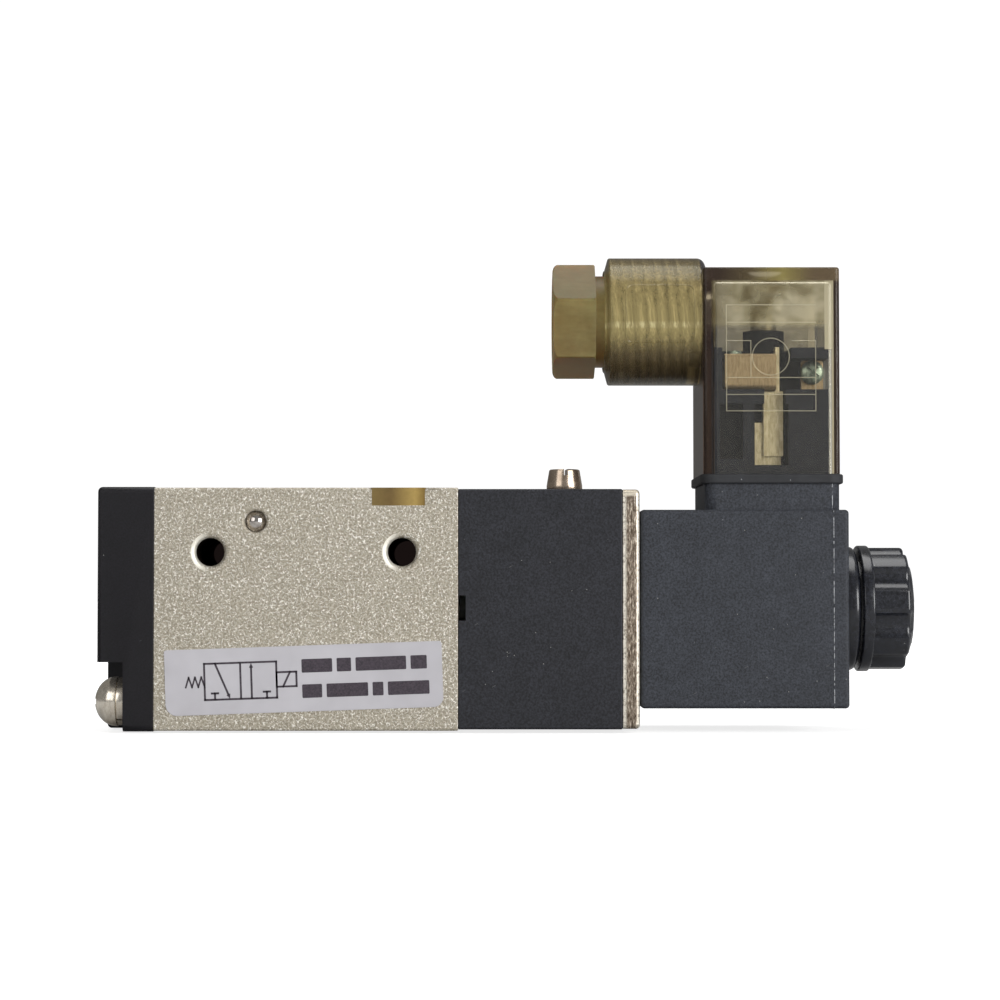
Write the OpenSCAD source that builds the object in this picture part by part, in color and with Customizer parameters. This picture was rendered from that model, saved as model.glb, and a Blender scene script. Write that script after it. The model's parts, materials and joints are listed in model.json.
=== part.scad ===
// Solenoid directional valve: 3/2 way, pilot operated, spring return, with a plug-in coil connector.
// Lengths are in millimetres. The shapes are drawn about the spool's axis: X runs along the spool from
// the end cap to the coil, Y runs from the front face to the rear face, Z runs up. place() then moves
// everything so that the origin is midway between the two side mounting holes, on the rear face.

/* [Valve body] */
// Length of the aluminium body
body_len = 33.8; // [33.8:0.1:34.6]
// Depth of the valve, front face to rear mounting face
body_depth = 18; // [18:0.1:18.4]
// Height of the aluminium body
body_h = 27; // [27:0.1:27.2]
// Distance between the two side mounting holes
mount_spacing = 21.3; // [21.2:0.05:21.4]
// Height of the side mounting holes above the spool axis
mount_z = 6.33; // [6.3:0.01:6.4]
// Diameter of the side mounting holes
mount_d = 3.1; // [3.1:0.05:3.3]
// Distance between the supply and exhaust ports
port_spacing = 15; // [14.8:0.1:15.2]
// Minor diameter of the G1/8 port threads
port_minor_d = 8.566; // [8.56:0.002:8.58]
// Depth of each port
port_depth = 7; // [6.8:0.1:7]

/* [Spool] */
// Diameter of the spool bore
spool_bore_d = 7.4; // [7.4:0.02:7.5]
// Travel of the spool
spool_stroke = 2.5; // [2.3:0.1:2.5]
// Diameter of the pilot piston chamber
piston_bore_d = 12.2; // [12.1:0.05:12.3]

/* [Ends] */
// Thickness of the end cap
cap_len = 6.3; // [6.3:0.1:6.5]
// Length of the pilot housing
pilot_len = 18.3; // [18.3:0.1:18.5]
// Height of the pilot housing
pilot_h = 26.7; // [26.6:0.1:26.9]
// Thickness of the coil plate
plate_t = 1.9; // [1.8:0.1:2]

/* [Manual override] */
// Diameter of the override button
button_d = 4.1; // [4:0.05:4.2]
// Height of the button above the pilot housing
button_rise = 2.6; // [2.5:0.05:2.7]
// Press travel of the button
button_stroke = 1.2; // [1:0.1:1.2]

/* [Coil] */
// Length of the moulded coil
coil_len = 23.2; // [23:0.1:23.4]
// Depth of the moulded coil
coil_depth = 17.6; // [17.4:0.1:17.8]
// Height of the moulded coil
coil_h = 22.1; // [22:0.1:22.2]
// Outer diameter of the armature tube
tube_d = 8; // [7.98:0.01:8]
// Travel of the armature
armature_stroke = 0.7; // [0.5:0.1:0.7]

/* [Connector] */
// Length of the connector housing along the valve
conn_len = 15; // [14.9:0.1:15.1]
// Depth of the connector housing
conn_depth = 15.5; // [15.4:0.1:15.6]
// Height of the top of the connector above the spool axis
conn_top = 38; // [37.8:0.1:38.2]
// Height of the cable entry axis above the spool axis
gland_z = 32.9; // [32.8:0.1:33]
// Outer diameter of the cable entry barrel
barrel_d = 14.6; // [14.5:0.1:14.7]
// Diameter of the cable hole
cable_d = 6.5; // [6:0.1:6.6]

/* [Hidden] */
$fn = 64;

eps = 0.5;                         // how far a cut runs past the face it opens
gap = 0.02;                        // clearance between pieces that touch
front = -body_depth / 2;
rear = body_depth / 2;
half_len = body_len / 2;
mount_x = mount_spacing / 2;
m3_r = 1.5;                        // M3 screw
m3_tap_r = 1.52;
m3_clear_r = 1.65;

// End screws stand in two opposite corners: front below and rear above
screw_y = 5.6;
cap_screw_z = 10.35;
long_screw_z = 9.9;
tap_depth = 6.3;

// Spool and chambers
spool_bore_r = spool_bore_d / 2;
chamber_r = 4.6;
chamber_half = 1.8;
port_x = port_spacing / 2;
spool_left = -13;
spool_right = 15.9;
land_r = 3.3;
waist_r = 1.9;
ring_r = 0.5;                      // section radius of the spool seals
ring_path_r = spool_bore_r - ring_r - gap;
spool_lands = [[spool_left, -10.5], [-1.1, 4.2], [10.3, spool_right]];
spool_ring_x = [-11.8, -0.3, 3, 11.5];

// Pilot channel
channel_y = -6.5;
channel_z = 9.74;
channel_r = 0.7;
ball_x = -5.63;
ball_r = 1.2;
plug_x = 10.26;
plug_y = -6.1;
plug_depth = 2;
plug_pocket_r = 4.14;

// Gaskets between body and ends
gasket_t = 0.6;
gasket_w = 16.4;
gasket_h = 24.8;
gasket_corner_r = 1.5;

// End cap
cap_left = -half_len - cap_len;
cap_h = 27.2;
cap_pocket_floor = cap_left + 2.9;
cap_pocket_z = 5.9;
spring_pocket_r = 3.35;
spring_pocket_x = cap_left + 1.6;
screw_head_r = 2.8;
screw_head_h = 2.65;
cap_screw_len = 10;
washer_t = 0.9;
washer_r = 2.7;

// Pilot housing
pilot_left = half_len;
pilot_right = half_len + pilot_len;
piston_bore_r = piston_bore_d / 2;
piston_left = pilot_left + 0.8 + spool_stroke;
piston_right = piston_left + 4.2;
piston_groove = [piston_left + 1.7, piston_left + 2.7];
piston_groove_r = 5;
piston_r = piston_bore_r - 0.04;
chamber_end = piston_right + 0.6;
seat_left = 32;
seat_right = 33.2;
seal_groove_depth = 0.8;           // groove for the armature tube's seal ring
seal_groove_r = [3.9, 5.3];
nozzle_tip = 32.7;
passage_x = 31;
passage_r = 0.6;
button_x = 28.95;
button_r = button_d / 2;
button_top = pilot_h / 2 + button_rise;
button_bottom = 5.6;
button_bore_bottom = 3.6;
button_bore_r = button_r + 0.05;
button_seal_z = 11.6;
pin_r = 0.5;
pin_x = button_x + 1.9;
pin_z = 7.3;
pin_front = -2.9;

// Coil and armature tube
plate_right = pilot_right + plate_t;
coil_left = plate_right + 0.1;
coil_right = coil_left + coil_len;
tube_r = tube_d / 2;
tube_in_r = 3.3;
tube_end = 66.6;
flange_r = 5.5;
core_left = 51;
armature_left = 33.3;
armature_right = core_left - armature_stroke - 0.1;
armature_r = tube_in_r - 0.06;
spring_seat = core_left - 6;       // floor of the armature's spring bore
pad_r = 1.62;
pad_depth = 1.2;
coil_bore_r = tube_r + 0.1;
bobbin_left = 39.8;
bobbin_right = 57.8;
bobbin_flange = 1;
bobbin_r = 7.9;
bobbin_wall_r = 4.7;
yoke_t = 1.5;
yoke_w = 13;
yoke_drop = 9.7;
yoke_left = coil_left + 1;
yoke_right = coil_right - 1;
winding_r = 7.5;

// Coil nut
nut_seal_right = coil_right + 1.6;
nut_seal_r = 7.05;
nut_flange_r = 7.2;
grip_left = 63.6;
grip_r = 6.95;
nut_end = 68.25;
nut_bore_end = 67.2;
lobes = 8;

// Connector
conn_x = 51.8;                     // centre of the connector and its fixing screw
conn_left = conn_x - conn_len / 2;
conn_right = conn_x + conn_len / 2;
neck_top = 14.4;
neck_left = 44.45;
neck_right = 59.6;
neck_mid = (neck_left + neck_right) / 2;
neck_w = neck_right - neck_left;
neck_corner_r = 1.3;
conn_bottom = 15.1;
wall = 0.9;
top_wall = 1.6;
cavity_left = conn_left + 1.2;
cavity_right = conn_right - 0.8;
cavity_top = conn_top - top_wall;
blade_t = 0.8;
blade_w = 3;
blade_y = 4;                       // the two power blades stand either side of the screw
earth_x = conn_x + 4.5;
blade_top = 21;
blade_bottom = 9.2;
block_top = 24.6;
post_r = 2.35;
post_top = 31.7;
fixing_head_r = 2.6;
fixing_seat = conn_top - 2.6;
fixing_seal_t = 0.5;
fixing_head_h = 1.8;
fixing_tip = 9.8;

earth_screw_x = 56.8;
earth_screw_z = 26.65;
earth_plate_y = [-4.4, -3.8];
m2_r = 1;                          // terminal screws
m2_tap_r = 1.02;
leaf_t = 0.4;                      // sheet of the contacts
leaf_bottom = 17.2;
pocket_floor = 15.6;
leaf_gap = blade_t / 2 + 0.05;     // half the opening between two leaves
clamp_bottom = block_top + 0.05;
clamp_top = 28.7;
clamp_y = [-6.3, -2.4];
clamp_screw_x = 48;
clamp_screw_y = (clamp_y[0] + clamp_y[1]) / 2;

// Cable gland
gland_left = 27.6;
hex_len = 4.8;
hex_across_flats = 11.5;
barrel_left = 33.4;
barrel_right = 45;
barrel_r = barrel_d / 2;
gland_bore_r = 5.66;
gland_thread_r = 5.6;
gland_thread_end = 39.4;
gland_washer_t = 0.5;
bush_left = 40;
bush_right = 43;
bush_r = 5.2;
wire_r = 3.5;
cable_r = cable_d / 2;

// Label
label_w = 30.8;
label_h = 7.3;
label_t = 0.1;
label_x = -0.2;
label_z = -7.7;
label_tilt = 2;

// ---- Shared shapes -------------------------------------------------------------------------------

// Moves the spool-axis drawing to the part's own origin
module place() {
    translate([0, -body_depth / 2, -mount_z]) children();
}

module x_cyl(x0, x1, r, y = 0, z = 0) {
    translate([x0, y, z]) rotate([0, 90, 0]) cylinder(h = x1 - x0, r = r);
}

module y_cyl(y0, y1, r, x = 0, z = 0) {
    translate([x, y1, z]) rotate([90, 0, 0]) cylinder(h = y1 - y0, r = r);
}

module z_cyl(z0, z1, r, x = 0, y = 0) {
    translate([x, y, z0]) cylinder(h = z1 - z0, r = r);
}

module x_cone(x0, x1, r0, r1, y = 0, z = 0) {
    translate([x0, y, z]) rotate([0, 90, 0]) cylinder(h = x1 - x0, r1 = r0, r2 = r1);
}

module y_cone(y0, y1, r0, r1, x = 0, z = 0) {
    translate([x, y0, z]) rotate([-90, 0, 0]) cylinder(h = y1 - y0, r1 = r0, r2 = r1);
}

module z_cone(z0, z1, r0, r1, x = 0, y = 0) {
    translate([x, y, z0]) cylinder(h = z1 - z0, r1 = r0, r2 = r1);
}

module box(lo, hi) {
    translate(lo) cube(hi - lo);
}

// Rectangle about the origin with true round corners
module rounded_rect(w, h, r) {
    square([w - 2 * r, h], center = true);
    square([w, h - 2 * r], center = true);
    for (sx = [-1, 1], sy = [-1, 1])
        translate([sx * (w / 2 - r), sy * (h / 2 - r)]) circle(r = r);
}

// Bar along X with a rounded section; w is its Y size and h its Z size
module x_bar(x0, x1, w, h, r, y = 0, z = 0) {
    translate([x0, y, z]) rotate([90, 0, 90]) linear_extrude(x1 - x0) rounded_rect(w, h, r);
}

// Bar along Z with a rounded section; w is its X size and d its Y size
module z_bar(z0, z1, w, d, r, x = 0, y = 0) {
    translate([x, y, z0]) linear_extrude(z1 - z0) rounded_rect(w, d, r);
}

// Turned shape about the X axis; points are [x, r]
module x_turned(points, y = 0, z = 0) {
    translate([0, y, z]) rotate([0, 90, 0])
        rotate_extrude() polygon([for (p = points) [p[1], p[0]]]);
}

// Turned shape about a vertical axis; points are [z, r]
module z_turned(points, x = 0, y = 0) {
    translate([x, y, 0]) rotate_extrude() polygon([for (p = points) [p[1], p[0]]]);
}

// Ring of round section about the X axis
module x_ring(x, path_r, section_r) {
    translate([x, 0, 0]) rotate([0, 90, 0]) rotate_extrude() translate([path_r, 0]) circle(r = section_r);
}

// Repeats its children in the two screw corners, z above and below the spool axis
module at_screws(z) {
    for (side = [-1, 1])
        translate([0, side * screw_y, side * z]) children();
}

// Closed coil spring standing on Z = 0: the wire's level slice is swept round the axis
module spring(h, path_r, wire_r, turns) {
    pitch = (h - 2 * wire_r) / turns;
    half_angle = 360 * wire_r / pitch;
    steps = 6;
    side = [for (i = [0:steps]) i / steps * 2 - 1];
    outer = [for (s = side) [path_r + wire_r * sqrt(1 - s * s * 0.98), s * half_angle]];
    inner = [for (s = side) [path_r - wire_r * sqrt(1 - s * s * 0.98), -s * half_angle]];
    linear_extrude(height = h, twist = -360 * turns, slices = 16 * turns, $fn = 12)
        polygon([for (p = concat(outer, inner)) [p[0] * cos(p[1]), p[0] * sin(p[1])]]);
}

// ---- Valve body ----------------------------------------------------------------------------------

// G1/8 port opening along +Z, with its mouth at mouth_z
module port_cut(mouth_z) {
    mouth_chamfer = 0.7;
    z_cyl(mouth_z - port_depth, mouth_z + eps, port_minor_d / 2);
    z_cone(mouth_z - mouth_chamfer, mouth_z, port_minor_d / 2, port_minor_d / 2 + mouth_chamfer);
}

module mount_hole_cut(x) {
    sink_r = mount_d / 2 + 0.65;
    sink_depth = 0.38;
    y_cyl(front - eps, rear + eps, mount_d / 2, x, mount_z);
    y_cone(front, front + sink_depth, sink_r, mount_d / 2, x, mount_z);
    y_cone(rear - sink_depth, rear, mount_d / 2, sink_r, x, mount_z);
}

module spool_bore_cut() {
    x_cyl(-half_len - eps, half_len + eps, spool_bore_r);
    for (x = [-port_x, 0, port_x])
        x_cyl(x - chamber_half - 0.1, x + chamber_half + 0.1, chamber_r);
}

// Drilling from the spool axis up to the gallery
module slanted_drilling(x) {
    translate([x, 0, 0]) rotate([atan2(-channel_y, channel_z), 0, 0])
        cylinder(h = norm([channel_y, channel_z]), r = passage_r);
}

// Drilled gallery that feeds the pilot, its cross drillings and their plugged mouths
module pilot_channel_cut() {
    mouth_chamfer = 0.3;
    x_cyl(ball_x - channel_r, half_len + eps, channel_r, channel_y, channel_z);
    y_cyl(front - eps, channel_y, ball_r + 0.01, ball_x, channel_z);
    y_cone(front, front + mouth_chamfer, ball_r + mouth_chamfer, ball_r, ball_x, channel_z);
    z_cyl(body_h / 2 - plug_depth, body_h / 2 + eps, plug_pocket_r, plug_x, plug_y);
    z_cyl(channel_z - channel_r, body_h / 2, m3_tap_r, plug_x, plug_y);
    slanted_drilling(port_x);
}

module valve_body() {
    flow_r = 2.4;
    edge_r = 0.3;
    color("#b0aa98") difference() {
        x_bar(-half_len, half_len, body_depth, body_h, edge_r);
        spool_bore_cut();
        port_cut(body_h / 2);
        z_cyl(0, body_h / 2, flow_r);
        for (x = [-port_x, port_x]) {
            translate([x, 0, 0]) mirror([0, 0, 1]) port_cut(body_h / 2);
            z_cyl(-body_h / 2, 0, flow_r, x);
        }
        mount_hole_cut(-mount_x);
        mount_hole_cut(mount_x);
        pilot_channel_cut();
        at_screws(cap_screw_z) x_cyl(-half_len - eps, -half_len + tap_depth, m3_tap_r);
        at_screws(long_screw_z) x_cyl(half_len - tap_depth, half_len + eps, m3_tap_r);
    }
}

module channel_ball() {
    sunk = 0.1;
    color("silver") translate([ball_x, front + ball_r + sunk, channel_z]) sphere(r = ball_r);
}

// Headed plug in the top face; its pocket breaks out through the front face, where it is milled flush
module pilot_channel_plug() {
    head_r = plug_pocket_r - gap;
    shank_len = 1;
    socket_af = 2.5;
    socket_depth = 1.3;
    color("#b08d3c") difference() {
        union() {
            z_cyl(body_h / 2 - plug_depth, body_h / 2, head_r, plug_x, plug_y);
            z_cyl(body_h / 2 - plug_depth - shank_len, body_h / 2 - plug_depth, m3_r, plug_x, plug_y);
        }
        translate([plug_x, plug_y, body_h / 2 - socket_depth])
            cylinder(h = socket_depth + eps, r = socket_af / 2 / cos(30), $fn = 6);
        box([plug_x - head_r - eps, front - head_r, body_h / 2 - plug_depth - eps],
            [plug_x + head_r + eps, front + gap, body_h / 2 + eps]);
    }
}

// ---- End cap -------------------------------------------------------------------------------------

// Step cut out of a corner of the cap so that the screw head sits below its end
module cap_corner_cut() {
    pocket_y = 0.8;
    box([cap_left - eps, -rear - eps, -cap_h / 2 - eps], [cap_pocket_floor, -pocket_y, -cap_pocket_z]);
}

module end_cap() {
    edge_r = 0.7;
    color("#26272b") difference() {
        x_bar(cap_left, -half_len, body_depth, cap_h, edge_r);
        cap_corner_cut();
        rotate([180, 0, 0]) cap_corner_cut();
        x_cyl(spring_pocket_x, -half_len + eps, spring_pocket_r);
        x_bar(-half_len - gasket_t, -half_len + eps, gasket_w, gasket_h, gasket_corner_r);
        at_screws(cap_screw_z) x_cyl(cap_left - eps, -half_len + eps, m3_clear_r);
    }
}

module end_cap_gasket() {
    color("#1b1b1b") difference() {
        x_bar(-half_len - gasket_t, -half_len, gasket_w, gasket_h, gasket_corner_r);
        x_cyl(-half_len - gasket_t - eps, -half_len + eps, spool_bore_r);
        at_screws(cap_screw_z) x_cyl(-half_len - gasket_t - eps, -half_len + eps, m3_clear_r);
    }
}

// Round-headed M3 screw along +X, its head seated at X = 0
module pan_screw(length) {
    cross = [2.8, 0.6, 1.2];       // span, width and depth of the cross recess
    difference() {
        x_turned([[-screw_head_h, 0], [-screw_head_h, 1], [-screw_head_h * 0.86, 1.9],
                  [-screw_head_h * 0.55, 2.55], [-screw_head_h * 0.2, screw_head_r],
                  [0, screw_head_r], [0, m3_r], [length - 0.6, m3_r], [length, 0.9], [length, 0]]);
        for (turn = [0, 90])
            rotate([turn, 0, 0]) box([-screw_head_h - eps, -cross[0] / 2, -cross[1] / 2],
                                     [-screw_head_h + cross[2], cross[0] / 2, cross[1] / 2]);
    }
}

module end_cap_screws() {
    color("#c8c4bc") at_screws(cap_screw_z) translate([cap_pocket_floor - washer_t, 0, 0])
        pan_screw(cap_screw_len);
}

module end_cap_washers() {
    color("#b7b3aa") at_screws(cap_screw_z) difference() {
        x_cyl(cap_pocket_floor - washer_t, cap_pocket_floor, washer_r);
        x_cyl(cap_pocket_floor - washer_t - eps, cap_pocket_floor + eps, m3_r + gap);
    }
}

// ---- Spool and pilot piston ----------------------------------------------------------------------

module return_spring() {
    color("silver") translate([spring_pocket_x, 0, 0]) rotate([0, 90, 0])
        spring(spool_left - spring_pocket_x, 2.7, 0.32, 4);
}

module spool() {
    groove_r = ring_path_r - ring_r - gap;
    color("#c9ccd2") difference() {
        union() {
            x_cyl(spool_left, spool_right, waist_r);
            for (l = spool_lands)
                x_cyl(l[0], l[1], land_r);
        }
        for (x = spool_ring_x)
            difference() {
                x_cyl(x - ring_r - gap, x + ring_r + gap, land_r + eps);
                x_cyl(x - ring_r - eps, x + ring_r + eps, groove_r);
            }
    }
}

module spool_seals() {
    color("#202020") for (x = spool_ring_x)
        x_ring(x, ring_path_r, ring_r);
}

module pilot_piston() {
    boss_r = 2.5;
    dish_r = 3.5;
    dish_depth = 1;
    color("#e8e4d8") difference() {
        union() {
            x_cyl(piston_left, piston_right, piston_r);
            x_cyl(spool_right + 0.05, piston_left, boss_r);
        }
        difference() {
            x_cyl(piston_groove[0], piston_groove[1], piston_r + eps);
            x_cyl(piston_groove[0] - eps, piston_groove[1] + eps, piston_groove_r);
        }
        x_cyl(piston_right - dish_depth, piston_right + eps, dish_r);
    }
}

module piston_seal() {
    side_gap = 0.05;
    color("#202020") difference() {
        x_cyl(piston_groove[0] + side_gap, piston_groove[1] - side_gap, piston_bore_r - 0.01);
        x_cyl(piston_groove[0], piston_groove[1], piston_groove_r + gap);
    }
}

// ---- Pilot housing -------------------------------------------------------------------------------

module vent_cut() {
    vent_w = 0.85;
    vent_h = 2.8;
    vent_z = 0.1;
    translate([pilot_left, 0, vent_z])
        box([0, front - eps, -vent_h / 2], [vent_w, -piston_bore_r + 1, vent_h / 2]);
}

module pilot_gasket() {
    color("#1b1b1b") difference() {
        x_bar(pilot_left, pilot_left + gasket_t, gasket_w, gasket_h, gasket_corner_r);
        x_cyl(pilot_left - eps, pilot_left + gasket_t + eps, piston_bore_r);
        x_cyl(pilot_left - eps, pilot_left + gasket_t + eps, channel_r, channel_y, channel_z);
        at_screws(long_screw_z) x_cyl(pilot_left - eps, pilot_left + gasket_t + eps, m3_clear_r);
        vent_cut();
    }
}

// Air passages: gallery to the nozzle, and seat chamber back to the piston
module pilot_passages_cut() {
    nozzle_hole_r = 0.4;
    return_z = -2.6;
    x_cyl(pilot_left, passage_x, channel_r, channel_y, channel_z);
    slanted_drilling(passage_x);
    x_cyl(passage_x, nozzle_tip + eps, nozzle_hole_r);
    x_cyl(chamber_end - eps, seat_left + eps, passage_r, 0, return_z);
}

module pilot_housing() {
    nozzle_root_r = 1.6;
    nozzle_tip_r = 0.9;
    edge_r = 0.3;
    bore_chamfer = 0.3;
    color("#26272b") difference() {
        union() {
            difference() {
                x_bar(pilot_left, pilot_right, body_depth, pilot_h, edge_r);
                x_cyl(seat_left, seat_right + eps, tube_in_r);
            }
            x_cone(seat_left - eps, nozzle_tip, nozzle_root_r, nozzle_tip_r);
        }
        x_bar(pilot_left - eps, pilot_left + gasket_t, gasket_w, gasket_h, gasket_corner_r);
        x_cyl(pilot_left, chamber_end, piston_bore_r);
        x_cyl(seat_right, pilot_right + eps, flange_r + 0.1);
        difference() {
            x_cyl(seat_right - seal_groove_depth, seat_right + eps, seal_groove_r[1]);
            x_cyl(seat_right - seal_groove_depth - eps, seat_right + 2 * eps, seal_groove_r[0]);
        }
        pilot_passages_cut();
        vent_cut();
        z_cyl(button_bore_bottom, pilot_h / 2 + eps, button_bore_r, button_x);
        z_cone(pilot_h / 2 - bore_chamfer, pilot_h / 2, button_bore_r, button_bore_r + bore_chamfer,
               button_x);
        y_cyl(pin_front - 0.1, rear + eps, pin_r + 0.01, pin_x, pin_z);
        at_screws(long_screw_z) x_cyl(pilot_left - eps, pilot_right + eps, m3_clear_r);
    }
}

// Button with a turning slot, a seal groove and a wide groove that the pin limits
module override_button() {
    slot_w = 0.6;
    slot_depth = 0.8;
    groove_r = 1.35;
    seal_groove = [button_seal_z - 0.55, button_seal_z + 0.55];
    pin_groove_top = pin_z + pin_r + button_stroke + 0.1;
    pin_groove_bottom = pin_z - pin_r - 0.05;
    color("#cfcbc4") difference() {
        z_turned([[button_bottom, 0], [button_bottom, button_r], [pin_groove_bottom, button_r],
                  [pin_groove_bottom, groove_r], [pin_groove_top, groove_r],
                  [pin_groove_top, button_r], [seal_groove[0], button_r], [seal_groove[0], groove_r],
                  [seal_groove[1], groove_r], [seal_groove[1], button_r],
                  [button_top - 0.2, button_r - 0.05], [button_top, button_r - 0.25],
                  [button_top, 0]], button_x);
        box([button_x - slot_w / 2, -button_r - eps, button_top - slot_depth],
            [button_x + slot_w / 2, button_r + eps, button_top + eps]);
    }
}

module override_seal() {
    section_r = 0.33;
    color("#202020") translate([button_x, 0, button_seal_z])
        rotate_extrude() translate([button_bore_r - section_r - 0.01, 0]) circle(r = section_r);
}

module override_spring() {
    color("silver") translate([button_x, 0, button_bore_bottom])
        spring(button_bottom - button_bore_bottom, 1.45, 0.2, 2.5);
}

module override_pin() {
    color("silver") y_cyl(pin_front, rear, pin_r, pin_x, pin_z);
}

// ---- Coil plate and armature ---------------------------------------------------------------------

module coil_plate() {
    sink_r = 2.9;
    color("#8f867b") difference() {
        x_bar(pilot_right, plate_right, body_depth, pilot_h - 0.1, 0.5);
        x_cyl(pilot_right - eps, plate_right + eps, tube_r + gap);
        at_screws(long_screw_z) {
            x_cyl(pilot_right - eps, plate_right + eps, m3_clear_r);
            x_cone(plate_right - (sink_r - m3_clear_r), plate_right, m3_clear_r, sink_r);
            x_cyl(plate_right - gap, plate_right + eps, sink_r);
        }
    }
}

// Long countersunk M3 screws through plate and pilot housing into the body
module plate_screws() {
    head_r = 2.75;
    tip = half_len - tap_depth + 0.4;
    face = plate_right - 0.05;
    edge_h = 0.1;
    cross = [2.8, 0.6, 1.15];      // span, width and depth of the cross recess
    color("#c8c4bc") at_screws(long_screw_z) difference() {
        x_turned([[tip, 0], [tip, m3_r], [face - edge_h - (head_r - m3_r), m3_r],
                  [face - edge_h, head_r], [face, head_r], [face, 0]]);
        for (turn = [0, 90])
            rotate([turn, 0, 0]) box([face - cross[2], -cross[0] / 2, -cross[1] / 2],
                                     [face + eps, cross[0] / 2, cross[1] / 2]);
    }
}

module armature_tube() {
    color("#b9bbc0") difference() {
        union() {
            x_cyl(seat_right, pilot_right, flange_r);
            x_cyl(pilot_right, tube_end, tube_r);
        }
        x_cyl(seat_right - eps, tube_end + eps, tube_in_r);
    }
}

module tube_seal() {
    section_r = 0.38;
    path_r = (seal_groove_r[0] + seal_groove_r[1]) / 2;
    color("#202020") x_ring(seat_right - seal_groove_depth / 2, path_r, section_r);
}

module fixed_core() {
    core_right = tube_end - 0.3;
    centre_hole = [1, 2];          // radius and depth
    color("#a7a9ad") difference() {
        x_cyl(core_left, core_right, tube_in_r - gap);
        x_cyl(core_right - centre_hole[1], core_right + eps, centre_hole[0]);
    }
}

module armature() {
    color("#a7a9ad") difference() {
        x_cyl(armature_left, armature_right, armature_r);
        x_cyl(armature_left - eps, armature_left + pad_depth, pad_r + 0.03);
        x_cyl(spring_seat, armature_right + eps, 1.6);
    }
}

module armature_seal_pad() {
    color("#202020") x_cyl(nozzle_tip + 0.01, armature_left + pad_depth - gap, pad_r);
}

module armature_spring() {
    color("silver") translate([spring_seat + gap, 0, 0]) rotate([0, 90, 0])
        spring(core_left - spring_seat - 2 * gap, 1.15, 0.2, 5);
}

// ---- Coil ----------------------------------------------------------------------------------------

module yoke_shape(grow) {
    for (x = [yoke_left, yoke_right - yoke_t])
        box([x - grow, -yoke_w / 2 - grow, -yoke_drop - grow],
            [x + yoke_t + grow, yoke_w / 2 + grow, yoke_drop + grow]);
    box([yoke_left - grow, -yoke_w / 2 - grow, -yoke_drop - grow],
        [yoke_right + grow, yoke_w / 2 + grow, -yoke_drop + yoke_t + grow]);
}

// Blade feet and tops; grow opens them out into slots
module blades_shape(z0, z1, grow) {
    for (side = [-1, 1])
        box([conn_x - blade_w / 2 - grow, side * blade_y - blade_t / 2 - grow, z0],
            [conn_x + blade_w / 2 + grow, side * blade_y + blade_t / 2 + grow, z1]);
    box([earth_x - blade_t / 2 - grow, -blade_w / 2 - grow, z0],
        [earth_x + blade_t / 2 + grow, blade_w / 2 + grow, z1]);
}

module coil_moulding() {
    edge_r = 0.45;
    color("#222326") difference() {
        union() {
            x_bar(coil_left, coil_right, coil_depth, coil_h, edge_r);
            z_bar(0, neck_top, neck_w, conn_depth, neck_corner_r, neck_mid);
        }
        x_cyl(coil_left - eps, coil_right + eps, coil_bore_r);
        x_cyl(bobbin_left - gap, bobbin_right + gap, bobbin_r + gap);
        yoke_shape(gap);
        blades_shape(blade_bottom - gap, neck_top + eps, gap);
        z_cyl(blade_bottom, neck_top + eps, m3_tap_r, conn_x);
    }
}

module coil_bobbin() {
    color("#d8d2c0") difference() {
        union() {
            x_cyl(bobbin_left, bobbin_right, bobbin_wall_r);
            x_cyl(bobbin_left, bobbin_left + bobbin_flange, bobbin_r);
            x_cyl(bobbin_right - bobbin_flange, bobbin_right, bobbin_r);
        }
        x_cyl(bobbin_left - eps, bobbin_right + eps, coil_bore_r);
    }
}

module coil_winding() {
    color("#b8642c") difference() {
        x_cyl(bobbin_left + bobbin_flange + gap, bobbin_right - bobbin_flange - gap, winding_r);
        x_cyl(bobbin_left, bobbin_right, bobbin_wall_r + gap);
    }
}

module coil_yoke() {
    color("#7d8086") difference() {
        yoke_shape(0);
        x_cyl(coil_left, coil_right, coil_bore_r);
    }
}

module contact_blades() {
    color("#d3d0c4") blades_shape(blade_bottom, blade_top, 0);
}

// ---- Coil nut ------------------------------------------------------------------------------------

module nut_seal() {
    color("#17181a") difference() {
        x_turned([[coil_right + gap, 0], [coil_right + gap, nut_seal_r - 0.2],
                  [coil_right + 0.25, nut_seal_r], [nut_seal_right - 0.4, nut_seal_r],
                  [nut_seal_right, nut_seal_r - 0.6], [nut_seal_right, 0]]);
        x_cyl(coil_right - eps, nut_seal_right + eps, tube_r + 0.06);
    }
}

// Grip outline with scallops between its lobes
module grip_outline() {
    scallop_r = 1.5;
    difference() {
        circle(r = grip_r);
        for (i = [0:lobes - 1])
            rotate(360 / lobes * (i + 0.5)) translate([grip_r + 0.75, 0]) circle(r = scallop_r);
    }
}

module coil_nut() {
    nut_neck_r = 6.2;
    flange_left = nut_seal_right + 0.3;
    rim_x = nut_end - 0.6;
    color("#121315") difference() {
        union() {
            x_turned([[nut_seal_right + gap, 0], [nut_seal_right + gap, nut_neck_r],
                      [flange_left, nut_neck_r],
                      [flange_left + 0.1, nut_flange_r - 0.15], [flange_left + 0.3, nut_flange_r],
                      [grip_left - 0.2, nut_flange_r], [grip_left, nut_flange_r - 0.2], [grip_left, 0]]);
            intersection() {
                translate([grip_left, 0, 0]) rotate([0, 90, 0])
                    linear_extrude(nut_end - grip_left) grip_outline();
                x_turned([[grip_left, 0], [grip_left, grip_r], [rim_x - 0.4, grip_r], [rim_x, grip_r - 0.3],
                          [rim_x + 0.1, grip_r - 1.2], [rim_x + 0.3, grip_r - 1.4],
                          [nut_end, grip_r - 2.1], [nut_end, 0]]);
            }
        }
        x_cyl(coil_right, nut_bore_end, tube_r + 0.05);
    }
}

// ---- Connector -----------------------------------------------------------------------------------

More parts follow.
